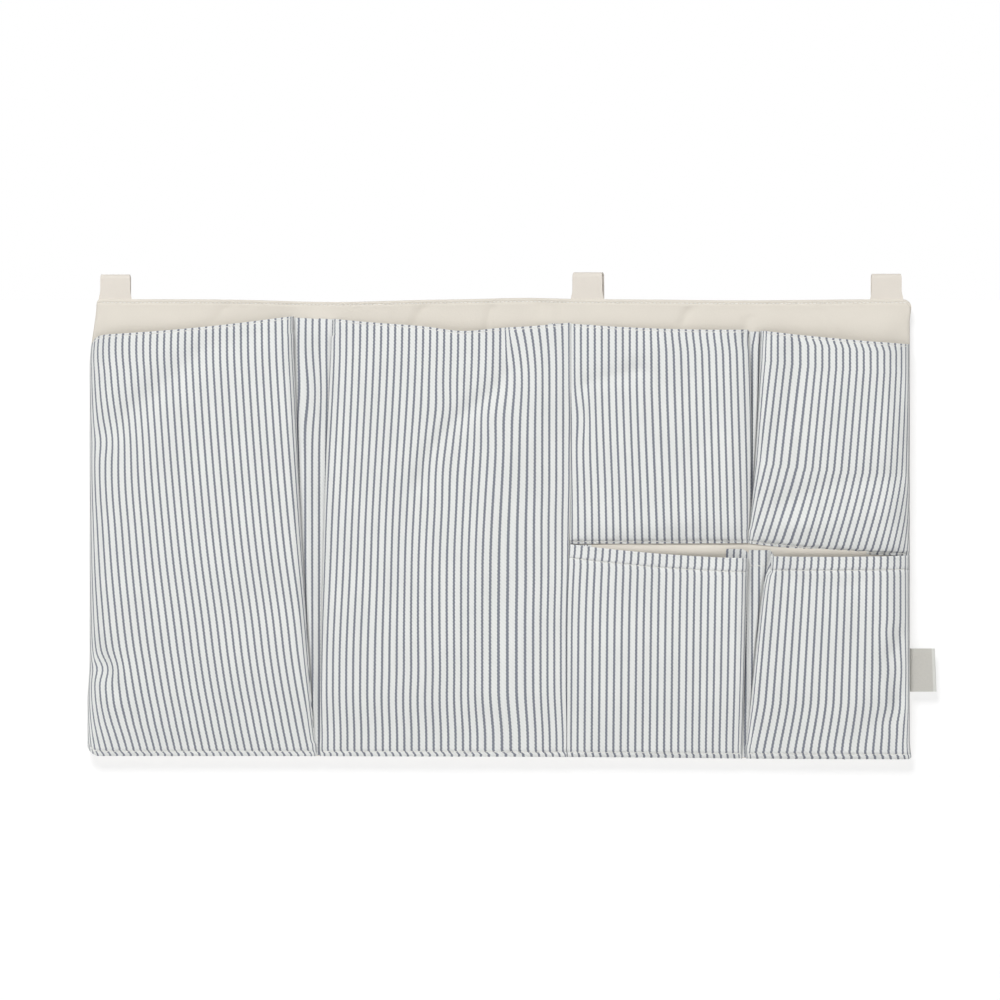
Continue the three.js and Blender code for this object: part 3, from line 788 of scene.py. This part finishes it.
for pocket in pockets:
    width, height = pocket_size(pocket)
    rolls = [quarter_round(lie[0], lie[1]) for lie in pocket["sides"]]
    left_steps, right_steps = ([d for d in SIDE_STEPS if d > lie[0] + 0.2] for lie in pocket["sides"])
    columns = steps_between(width, left_steps, right_steps, COLUMN_STEP, *rolls)
    rows = steps_between(height, BASE_STEPS, HEM_STEPS, ROW_STEP, (), quarter_round(TOP_CURL, 0.6))
    pocket["columns"], pocket["rows"] = columns, rows
    sheet = front_sheet(pocket, columns, rows)
    front = cloth_piece(f"{pocket['name']}_front", sheet, FRONT_CLOTH, striped)
    handed_over(front, "striped_cloth", f"{pocket['name']}_pocket", f"{pocket['name']}_pocket_front")

# The linings hang inside the four lined pockets and are bagged out to the front at the hem. The
# two lower fronts have none: their own cloth is turned in at the top and stitched down.
LINING_INSET, LINING_DROP = 3.5, 2.0
lining_cotton = plain_weave("lining_cotton", (0.90, 0.882, 0.845), thread=0.4)

for pocket in pockets:
    width, height = pocket_size(pocket)
    inner = [
        place for i, place in enumerate(pocket["columns"])
        if (i % 2 if place[0] == "part" else place[1] > LINING_INSET)
    ]
    rows = [place for place in pocket["rows"] if place[0] != "high" or place[1] > LINING_DROP]
    kind, finish, slot = "lining", lining_cotton, "natural_cloth"
    if not pocket["lined"]:
        rows = [place for place in rows if place[0] == "high" and place[1] <= TURNED_HEM]
        kind, finish, slot = "turned_hem", striped, "striped_cloth"
        height = TURNED_HEM
    sheet = front_sheet(pocket, inner, rows, behind=FRONT_CLOTH + CLEARANCE / 2)
    layer = cloth_piece(f"{pocket['name']}_{kind}", sheet, backing(pocket) - 0.05, finish)
    handed_over(layer, slot, f"{pocket['name']}_pocket", f"{pocket['name']}_pocket_{kind}")

# The pleats: at each side the pocket's cloth runs in from the seam along the panel and folds
# back to the front's edge, so that the pocket can open. It shows where a front leaves the seam.
PLEAT_TUCK = 16.0
PLEAT_STEP = 5.0
# A height where the wadding has its full loft, and the share of its thinning that the pull follows
FULL_LOFT_HEIGHT, THINNING_SHARE = -250.0, 0.6
PLEAT_BACK = CLEARANCE + PLEAT_CLOTH / 2
RIDGE_POINTS, FLAT_STEPS, TURN_STEPS, HOME_STEPS = 9, 3, 5, 8
RUN_POINTS = RIDGE_POINTS + FLAT_STEPS
PLEAT_TOP_GAP, PLEAT_BASE_GAP = 0.6, 0.8
# How far a pleat's top stands above its front's: at the seam, at the fold and at the tuck
pleat_rise = {
    ("lower_inner", 1): (5.0, 5.0, 7.4),
    ("lower_outer", 0): (5.2, 5.0, -3.0),
    ("large_left", 1): (-1.5, -0.4, -2.8),
    ("large_middle", 0): (0.9, 0.2, -3.2),
    ("upper_outer", 0): (0, 0, -3.0),
}


def pleat_ridge(seam_to_fold, tall):
    """The height of the soft ridge between the seam and the fold."""
    return max(min(0.5 * tall - 1.2, 0.3 * seam_to_fold), 0)


def pull_span(pocket, side):
    """How far off the panel a pleat's cloth begins to follow the front, and follows it wholly. The
    ridge stays on the panel. Where the panel thins towards its top, the front lies lower too."""
    seam = seam_of(pocket, side)
    thinned = panel_face(seam, pocket["hem"](side)) - panel_face(seam, FULL_LOFT_HEIGHT)
    full = PLEAT_HEIGHT + pocket["sides"][side][3]
    high = CLEARANCE + full - PLEAT_CLOTH - THINNING_SHARE * thinned
    ridge = pleat_ridge(max(*pocket["folds"][side][:2], 0.5), full)
    return PLEAT_BACK + PLEAT_CLOTH / 2 + 0.1 + ridge, high


def pleat_section(seam_to_fold, tall):
    """Distances in from the seam and off the panel, along the strip's folded section: a soft ridge
    as far as the front's fold, flat under it to the tuck, and home again."""
    tuck = seam_to_fold + PLEAT_TUCK
    turn_high = PLEAT_BACK + PLEAT_CLOTH + 0.1
    front = max(CLEARANCE + tall - PLEAT_CLOTH / 2, turn_high)
    ridge = pleat_ridge(seam_to_fold, tall)
    run = []
    for i in range(RIDGE_POINTS):
        share = 1 - (1 - i / (RIDGE_POINTS - 1)) ** 1.5
        run.append((mixed(0.05, seam_to_fold, share), PLEAT_BACK + ridge * math.sin(math.pi * share**2)))
    for i in range(1, FLAT_STEPS + 1):
        run.append((mixed(seam_to_fold, tuck - 0.8, i / FLAT_STEPS), PLEAT_BACK))
    turn = [
        (tuck - 0.5 + 0.3 * math.sin(angle), mixed(PLEAT_BACK, turn_high, (1 - math.cos(angle)) / 2))
        for angle in (math.pi * i / TURN_STEPS for i in range(1, TURN_STEPS))
    ]
    home = [
        (mixed(tuck - 0.8, seam_to_fold + 0.4, share), mixed(turn_high, front, share**1.3))
        for share in (i / HOME_STEPS for i in range(HOME_STEPS + 1))
    ]
    return run + turn + home


def lengths_along(line, start=0):
    """How far along a line each of its points lies."""
    lengths = [start]
    for before, after in zip(line, line[1:]):
        lengths.append(lengths[-1] + math.dist(before, after))
    return lengths


def pleat_rows(pocket, side):
    inward = 1 if side == 0 else -1
    seam = seam_of(pocket, side)
    base = pocket["base"](seam + inward, side)
    top = pocket["hem"](side) - PLEAT_TOP_GAP
    low = base + PLEAT_BASE_GAP
    at_seam, at_fold, at_tuck = pleat_rise.get((pocket["name"], side), (0, 0, 0))
    open_by = pocket["sides"][side][3]
    pull_low, pull_high = pull_span(pocket, side)
    opening = math.sin(math.radians(pocket["size"][1]))
    count = round((top - low) / PLEAT_STEP)
    rows = []
    for i in range(count + 1):
        z = mixed(low, top, i / count)
        fold = (fold_line(pocket, side, (z - base) / (top - base)) - seam) * inward
        fold = max(fold, 0.5)
        tall = pleat_height(z - base) + open_by * eased((z - base) / PLEAT_RISE)
        section = pleat_section(fold, tall)
        row = []
        for at, ((inside, off), run) in enumerate(zip(section, lengths_along(section))):
            x = seam + inward * inside
            wave = 0.12 * ruffle(x, z, 9, 40, side + 2) if 0 < at < RUN_POINTS - 1 else 0
            raised = mixed(at_seam, at_fold, limited(inside / fold))
            raised = mixed(raised, at_tuck, limited((inside - fold) / 4))
            height = z + raised * eased((i / count - 0.8) / 0.2)
            place = settled(x, height)
            # the run home holds the cloth that is drawn out when the pocket opens
            drawn = 0
            if at >= RUN_POINTS:
                drawn = (z - base) * opening * eased((off - pull_low) / (pull_high - pull_low))
            if at_tuck > 0:
                drawn *= 1 - eased((i / count - 0.85) / 0.1)
            cloth = (seam + inward * (run + drawn) - dragged(x, z), height)
            off += mouth_puff(x, height)
            row.append(((place[0], panel_face(x, z) - off + wave, place[1]), cloth))
        rows.append(row if side == 0 else row[::-1])
    return rows


for pocket in pockets:
    for side, side_name in enumerate(("left", "right")):
        rows = pleat_rows(pocket, side)
        pleat = cloth_piece(f"{pocket['name']}_pleat_{side_name}", rows, PLEAT_CLOTH, striped, offset=0)
        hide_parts(f"{pocket['name']}_pocket_pleat_{side_name}")
        # beside the panel's side seams the wadding thins, and the pull stands square to that slope
        slope = 0.0
        if pocket["seams"][side] in (0, len(UPRIGHT_SEAMS) - 1):
            slope = WADDING_LOFT / SIDE_SWELL_WIDTH * (1 if side else -1)
        seam = seam_of(pocket, side)
        pull_low, pull_high = pull_span(pocket, side)
        step = (pull_high - pull_low) / (1 + slope**2)
        start = Vector((seam, panel_face(seam, FULL_LOFT_HEIGHT) - pull_low, FULL_LOFT_HEIGHT))
        end = start + Vector((slope, -1, 0)) * step
        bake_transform(pleat)

# The stitches: off-white thread along the panel's edge, the hems and the base seams. One stitch
# is modelled and copied along each line, bedded in the cloth.
STITCH_LENGTH, STITCH_GAP, STITCH_RADIUS, STITCH_LIFT = 2.1, 0.9, 0.4, 0.15
EDGE_INSET, STITCHED_FROM = 4.0, 1.6


def plied_thread():
    finish, tree, shader = new_finish("sewing_thread", 0.8, 0.2)
    inputs = {"Vector": add(tree, "TexCoord").outputs["Object"], "Scale": 900.0, "Distortion": 1.0}
    ply = add(tree, "TexWave", inputs, bands_direction="DIAGONAL").outputs["Fac"]
    covered(tree, shader, tinted(tree, linear((0.94, 0.932, 0.912)), ply, 1.04, 0.88), ply, 0.4, 0.00005)
    return finish


thread_finish = plied_thread()
bpy.ops.mesh.primitive_cylinder_add(vertices=6, radius=STITCH_RADIUS * MM, depth=STITCH_LENGTH * MM,
                                    rotation=(0, math.pi / 2, 0))
stitch = bpy.context.object
bpy.ops.object.transform_apply()
editing(True)
bpy.ops.mesh.select_all(action="SELECT")
bpy.ops.mesh.bisect(plane_co=(0, 0, 0), plane_no=(1, 0, 0))
editing(False)
for corner in stitch.data.vertices:
    share = abs(corner.co.x) / (STITCH_LENGTH * MM / 2)
    corner.co.y = corner.co.y * (1 - 0.45 * share) + 0.16 * MM * share**2
    corner.co.z *= 1 - 0.45 * share


def as_pattern(piece):
    """Its points and faces, to be copied along a line or over a patch. The piece itself goes."""
    points = [corner.co.copy() for corner in piece.data.vertices]
    faces = [list(face.vertices) for face in piece.data.polygons]
    bpy.data.objects.remove(piece)
    return points, faces


stitch_points, stitch_faces = as_pattern(stitch)


def stitched(name, line, body):
    """A row of stitches along a line of points, each turned to lie along it."""
    corners, faces = [], []
    lengths = lengths_along(line)
    at, reach = 0.5, 1
    while at + STITCH_LENGTH < lengths[-1]:
        middle = at + STITCH_LENGTH / 2
        while lengths[reach] < middle:
            reach += 1
        before, after = Vector(line[reach - 1]), Vector(line[reach])
        share = (middle - lengths[reach - 1]) / (lengths[reach] - lengths[reach - 1])
        centre = before.lerp(after, share)
        along = (after - before).normalized()
        out = (Vector((0, -1, 0)) - along * along.dot(Vector((0, -1, 0)))).normalized()
        up = along.cross(out)
        start = len(corners)
        for point in stitch_points:
            place = centre + (along * point.x + up * point.z - out * point.y) / MM + out * STITCH_LIFT
            corners.append(place)
        faces += [[start + i for i in face] for face in stitch_faces]
        at += STITCH_LENGTH + STITCH_GAP
    piece = placed(name, corners, faces, thread_finish)
    face_outwards(piece)
    bpy.ops.object.shade_smooth()
    handed_over(piece, "natural_cloth", body)
    return piece


def panel_line(level, is_front):
    """A line of points 1 mm apart across a cover, up to the stitching's inset from each side."""
    count = int(PANEL_RIGHT - PANEL_LEFT - 2 * EDGE_INSET) + 1
    xs = [PANEL_LEFT + EDGE_INSET + i for i in range(count)]
    return [panel_point(x, level, level, is_front) for x in xs]


stitched("panel_top_stitches", panel_line(PANEL_TOP - TOP_STITCH_DROP, True), "panel")
for name, level in (("top", PANEL_TOP - TOP_STITCH_DROP), ("bottom", PANEL_BOTTOM + BOTTOM_STITCH_RISE)):
    line = [(x, 2 * SEAM_PLANE - y, z) for x, y, z in panel_line(level, False)]
    back = stitched(f"panel_back_{name}_stitches", line, "panel")
    for corner in back.data.vertices:
        corner.co.y = 2 * SEAM_PLANE * MM - corner.co.y
    back.data.flip_normals()

for pocket in pockets:
    inner = [place for place in pocket["columns"] if place[0] == "part" or place[1] > STITCHED_FROM]
    drop = HEM_STITCH_DROP if pocket["lined"] else TURNED_HEM
    rise = BOTTOM_STITCH_RISE if pocket["base"] is bottom_base else UPPER_STITCH_RISE
    for name, row in (("hem", ("high", drop)), ("base", ("low", rise))):
        line = [point for point, _ in front_sheet(pocket, inner, [row])[0]]
        stitched(f"{pocket['name']}_{name}_stitches", line, f"{pocket['name']}_pocket")

third_from_top = pleat_rows(pockets[-1], 0)[-3]
strip = [(x, y - PLEAT_CLOTH / 2, z) for (x, y, z), _ in third_from_top[:RIDGE_POINTS]]
stitched("lower_outer_pleat_stitches", strip, "panel")

# The straps: cotton tape folded over the cot's rail. The front leg is caught in the panel's top
# seam, and the tail comes down behind and fastens to the panel's back.
STRAP_WIDTH, STRAP_CLOTH = 22.0, 1.0
STRAP_HALF_GAP = 2.9
STRAP_FOLD_HEIGHT, HINGE_HEIGHT = 7.1, 10.5
LEG_END, TAIL_END = -25.0, -75.5
STRAP_ROWS_UP, STRAP_ROWS_OVER, STRAP_ROWS_DOWN, STRAP_COLUMNS = 16, 14, 34, 12
# Each strap's middle, how far its fold sags and how far its tail leans to the side
straps = {"left": (-281.5, 1.8, 0.4), "middle": (63.0, 0.2, 1.5), "right": (281.5, 1.3, -0.5)}
strap_cotton = plain_weave("strap_tape", (0.894, 0.868, 0.83), thread=0.6, depth=0.00012)


def strap_line(fold_height):
    """The middle of the tape from the leg's end to the tail's end, in Y and Z."""
    line = [(-STRAP_HALF_GAP, mixed(LEG_END, fold_height, i / STRAP_ROWS_UP)) for i in range(STRAP_ROWS_UP)]
    for i in range(STRAP_ROWS_OVER + 1):
        angle = math.pi * i / STRAP_ROWS_OVER
        line.append((-STRAP_HALF_GAP * math.cos(angle), fold_height + STRAP_HALF_GAP * math.sin(angle)))
    for i in range(1, STRAP_ROWS_DOWN + 1):
        line.append((STRAP_HALF_GAP, mixed(fold_height, TAIL_END, i / STRAP_ROWS_DOWN)))
    return line


for place, (centre, sag, leans) in straps.items():
    body = f"strap_{place}_tail"
    rows = []
    line = strap_line(STRAP_FOLD_HEIGHT - sag)
    for (y, z), run in zip(line, lengths_along(line)):
        flare = 1.2 * hump(z - PANEL_TOP, 3.5) if y < 0 else 0
        flare -= 0.4 * limited((z - line[STRAP_ROWS_UP][1]) / 2.5) ** 2
        aside = leans * eased((y + STRAP_HALF_GAP) / (2 * STRAP_HALF_GAP))
        row = []
        for step in range(STRAP_COLUMNS + 1):
            across = mixed(-1, 1, step / STRAP_COLUMNS)
            thin = 0.12 * hump(1 - abs(across), 0.1)
            x = centre + aside + across * (STRAP_WIDTH / 2 - 0.1 + flare)
            shift = 0.25 * ruffle(across * 4, z, 3, 14, centre)
            lift = shift * limited((z - PANEL_TOP) / 8) if y < 0 else shift * 0.4
            row.append(((x, y + lift - thin, z), (x, run)))
        rows.append(row)
    strap = cloth_piece(f"strap_band_{place}", rows, STRAP_CLOTH - 0.1, strap_cotton, offset=0)
    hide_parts(f"strap_{place}", body)
    start, end = (Vector((centre, across, HINGE_HEIGHT)) for across in (-2, 2))
    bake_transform(strap)

# The touch fasteners: a soft loop patch sewn on the panel's back and a hook patch on each
# strap's tail, both cut from tape with rounded corners.
PATCH_WIDTH, PATCH_HEIGHT, PATCH_BASE = 18.0, 32.0, 0.9
PATCH_CORNER, PATCH_BORDER, PATCH_PILE = 2.0, 1.1, 0.12
PATCH_MIDDLE = -55.5
LOOP_BACK, HOOK_FACE = -0.95, 2.05
HOOK_COLUMNS, HOOK_ROWS = 11, 22
HOOK_APART, HOOK_ROW_APART, HOOK_BEDDED = 1.35, 1.3, 0.15


def tape_finish(name, colour, scale, depth):
    finish, tree, shader = new_finish(name, 0.85, 0.3)
    place = add(tree, "TexCoord").outputs["Object"]
    fuzz = speckle(tree, place, scale, 6.0)
    covered(tree, shader, tinted(tree, linear(colour), fuzz, 1.08, 0.86), fuzz, 0.9, depth)
    return finish


loop_finish = tape_finish("loop_tape", (0.88, 0.85, 0.80), 1400.0, 0.0005)
hook_finish = tape_finish("hook_tape", (0.86, 0.83, 0.78), 500.0, 0.0001)


def pick(piece, kind, wanted):
    """Selects the edges or faces that are wanted, while the piece is being edited."""
    work = bmesh.from_edit_mesh(piece.data)
    for part in getattr(work, kind):
        part.select_set(wanted(part))
    bmesh.update_edit_mesh(piece.data)


def tape_patch(name, centre, y, finish):
    """A thin slab with round corners and a bound edge, lying in the X and Z plane."""
    bpy.ops.mesh.primitive_cube_add(size=1)
    patch = bpy.context.object
    patch.name = name
    patch.scale = (PATCH_WIDTH * MM, PATCH_BASE * MM, PATCH_HEIGHT * MM)
    bpy.ops.object.transform_apply()
    editing(True)
    pick(patch, "edges", lambda edge: abs(edge.verts[0].co.y - edge.verts[1].co.y) > 0.5 * PATCH_BASE * MM)
    bpy.ops.mesh.bevel(offset=PATCH_CORNER * MM, segments=4)
    pick(patch, "faces", lambda face: abs(face.normal.y) > 0.9)
    bpy.ops.mesh.inset(thickness=PATCH_BORDER * MM, use_individual=True)
    bpy.ops.mesh.inset(thickness=0.3 * MM, depth=PATCH_PILE * MM, use_individual=True)
    editing(False)
    patch.location = (centre * MM, y * MM, PATCH_MIDDLE * MM)
    bpy.ops.object.transform_apply()
    patch.data.materials.append(finish)
    smooth_faces(patch, 40)
    return patch


bpy.ops.mesh.primitive_cone_add(vertices=5, radius1=0.16 * MM, radius2=0.1 * MM, depth=0.4 * MM,
                                rotation=(math.pi / 2, 0, 0))
hook = bpy.context.object
bpy.ops.object.transform_apply()
editing(True)
pick(hook, "faces", lambda face: face.normal.y < -0.9)
bpy.ops.mesh.extrude_region_move(TRANSFORM_OT_translate={"value": (0, -0.12 * MM, 0.1 * MM)})
bpy.ops.transform.resize(value=(1.9, 1, 1.9))
editing(False)
hook_points, hook_faces = as_pattern(hook)

for place, (centre, _, _) in straps.items():
    tail = f"strap_{place}_tail"
    loop_patch = tape_patch(f"loop_tape_{place}", centre, LOOP_BACK + PATCH_BASE / 2, loop_finish)
    handed_over(loop_patch, "touch_fastener", "panel", f"loop_patch_{place}")
    hook_patch = tape_patch(f"hook_tape_{place}", centre, HOOK_FACE - PATCH_BASE / 2, hook_finish)
    handed_over(hook_patch, "touch_fastener", tail, f"hook_patch_{place}")

    corners, faces = [], []
    for row in range(HOOK_ROWS):
        for column in range(HOOK_COLUMNS):
            x = centre + (column - (HOOK_COLUMNS - 1) / 2) * HOOK_APART + 0.3 * (row % 2)
            z = PATCH_MIDDLE + (row - (HOOK_ROWS - 1) / 2) * HOOK_ROW_APART
            root = (x, HOOK_FACE - PATCH_BASE - HOOK_BEDDED, z)
            start = len(corners)
            corners += [[at + off / MM for at, off in zip(root, point)] for point in hook_points]
            faces += [[start + i for i in face] for face in hook_faces]
    handed_over(placed(f"hooks_{place}", corners, faces, hook_finish), "touch_fastener", tail)

# The side label: a short woven ribbon folded double and caught in the right-hand seam. Its face
# is bare, with the fine ribs of the weave and a plain woven border.
LABEL_HEIGHT, LABEL_START, LABEL_END, LABEL_MIDDLE = 31.5, 286.0, 317.0, -280.1
LABEL_HALF, LABEL_STEPS = 0.4, 8


def ribbon_finish():
    """Ribbed ribbon with a paler border along the fold."""
    finish, tree, shader = new_finish("woven_ribbon", 0.7, 0.15)
    cloth, across, along = on_cloth(tree)
    weave = product(tree, ribs(tree, along, 0.5), ribs(tree, across, 0.35))
    uneven = add(tree, "TexNoise", {"Vector": cloth, "Scale": 600.0}).outputs["Fac"]
    border = ramp(tree, sums(tree, "ABSOLUTE", across), 2.4 * MM, 2.0 * MM)
    ground = tinted(tree, linear((0.80, 0.791, 0.764)), uneven, 1.05, 0.93)
    tone = mingled(tree, border, ground, linear((0.86, 0.86, 0.84)))
    covered(tree, shader, tone, weave, 0.6, 0.00008)
    return finish


label_fold = LABEL_END - LABEL_HALF
label_shares = [i / LABEL_STEPS for i in range(LABEL_STEPS + 1)]
ribbon = [(mixed(LABEL_START, label_fold, share), -LABEL_HALF) for share in label_shares[:-1]]
for share in label_shares:
    angle = math.pi * (share - 0.5)
    ribbon.append((label_fold + LABEL_HALF * math.cos(angle), LABEL_HALF * math.sin(angle)))
ribbon += [(mixed(label_fold, LABEL_START, share), LABEL_HALF) for share in label_shares[1:]]
rows = []
for up in label_shares:
    z = LABEL_MIDDLE + LABEL_HEIGHT * (up - 0.5)
    row = []
    for (x, off), run in zip(ribbon, lengths_along(ribbon, LABEL_START - LABEL_END)):
        lean = 0.5 * eased((x - PANEL_RIGHT) / 20) * math.cos((up - 0.5) * 3)
        aside = 0.04 * (LABEL_MIDDLE - z) * limited((x - 296) / 10)
        row.append(((x + aside, SEAM_PLANE + off - lean, z), (run, z)))
    rows.append(row)
label = cloth_piece("bare_label", rows, 0.3, ribbon_finish(), offset=0)
handed_over(label, "woven_label", "panel", "side_label")

# The studio: the organizer lies flat against a white sheet that takes its soft shadow, over a
# pale floor, in even light from the upper left.
STUDIO_WHITE = (1.0, 1.0, 1.0, 1.0)
FLOOR_HALF, FLOOR_HEIGHT = 4000, -610
SHEET_HALF, SHEET_BEHIND, SHEET_TOP, SHEET_FOOT = 700, 5, -11, -608
SQUARE = ((-1, -1), (1, -1), (1, 1), (-1, 1))
LAMPS_AIM = Vector((0, 0, -0.17))
CAMERA_AWAY, FRAME_WIDTH, FILM_WIDTH = 6.0, 0.73, 36


def shown_as(tree, surface, output="Material Output"):
    tree.links.new(surface, tree.nodes[output].inputs["Surface"])


def glowing(name, colour, glow):
    """A pale matt surface that the camera sees a little brighter than its light makes it."""
    finish = bpy.data.materials.new(name)
    finish.use_nodes = True
    tree = finish.node_tree
    tree.nodes.remove(tree.nodes["Principled BSDF"])
    seen = add(tree, "LightPath").outputs["Is Camera Ray"]
    matt = add(tree, "BsdfDiffuse", {"Color": colour}).outputs[0]
    light = add(tree, "Emission", {"Strength": product(tree, seen, glow)}).outputs[0]
    both = add(tree, "AddShader", {0: matt, 1: light}).outputs[0]
    return finish, tree, seen, both


def flat_sheet(name, corners, finish):
    placed(name, corners, [(0, 1, 2, 3)], finish)


floor_finish, floor_tree, _, floor_surface = glowing("pale_floor", (0.86, 0.86, 0.86, 1), 0.4)
shown_as(floor_tree, floor_surface)
flat_sheet("floor", [(x * FLOOR_HALF, y * FLOOR_HALF, FLOOR_HEIGHT) for x, y in SQUARE], floor_finish)

sheet_finish, sheet_tree, seen, sheet_surface = glowing("white_sheet", (0.45, 0.45, 0.45, 1), 0.6)
behind = add(sheet_tree, "NewGeometry").outputs["Backfacing"]
shown = product(sheet_tree, seen, sums(sheet_tree, "SUBTRACT", 1.0, behind))
clear = add(sheet_tree, "BsdfTransparent").outputs[0]
one_sided = add(sheet_tree, "MixShader", {0: shown, 1: clear, 2: sheet_surface}).outputs[0]
shown_as(sheet_tree, one_sided)
sheet_corners = [(x * SHEET_HALF, SHEET_BEHIND, SHEET_TOP if z > 0 else SHEET_FOOT) for x, z in SQUARE]
flat_sheet("white_sheet", sheet_corners, sheet_finish)

world = bpy.data.worlds.new("studio")
bpy.context.scene.world = world
world.use_nodes = True
sky = world.node_tree
paths = add(sky, "LightPath")
direct = sums(sky, "MAXIMUM", paths.outputs["Is Camera Ray"], paths.outputs["Is Glossy Ray"])
direct = sums(sky, "MAXIMUM", direct, paths.outputs["Is Transmission Ray"])
ambient = sky.nodes["Background"]
ambient.inputs["Color"].default_value = STUDIO_WHITE
ambient.inputs["Strength"].default_value = 0.32
white = add(sky, "Background", {"Color": STUDIO_WHITE, "Strength": 1.0})
chosen = add(sky, "MixShader", {0: direct, 1: ambient.outputs[0], 2: white.outputs[0]})
shown_as(sky, chosen.outputs[0], "World Output")


def soft_lamp(name, place, size, power):
    lamp = bpy.data.lights.new(name, "AREA")
    lamp.size = size
    lamp.energy = power
    holder = in_scene(name, lamp)
    holder.location = place
    aim = LAMPS_AIM - Vector(place)
    holder.rotation_euler = aim.to_track_quat("-Z", "Y").to_euler()
    holder.visible_camera = False


soft_lamp("key", (-0.8, -3.1, 2.9), 1.6, 126)
soft_lamp("fill", (1.2, -3.2, -0.8), 2.0, 28)
soft_lamp("rear", (-0.9, 2.6, 0.9), 1.6, 34)

camera = in_scene("camera", bpy.data.cameras.new("camera"))
camera.location = (-0.0007, -CAMERA_AWAY, -0.156)
camera.rotation_euler = (math.pi / 2, 0, 0)
camera.data.sensor_width = FILM_WIDTH
camera.data.lens = FILM_WIDTH * CAMERA_AWAY / FRAME_WIDTH
camera.data.clip_end = 50
bpy.context.scene.camera = camera
bpy.context.scene.view_settings.view_transform = "Standard"
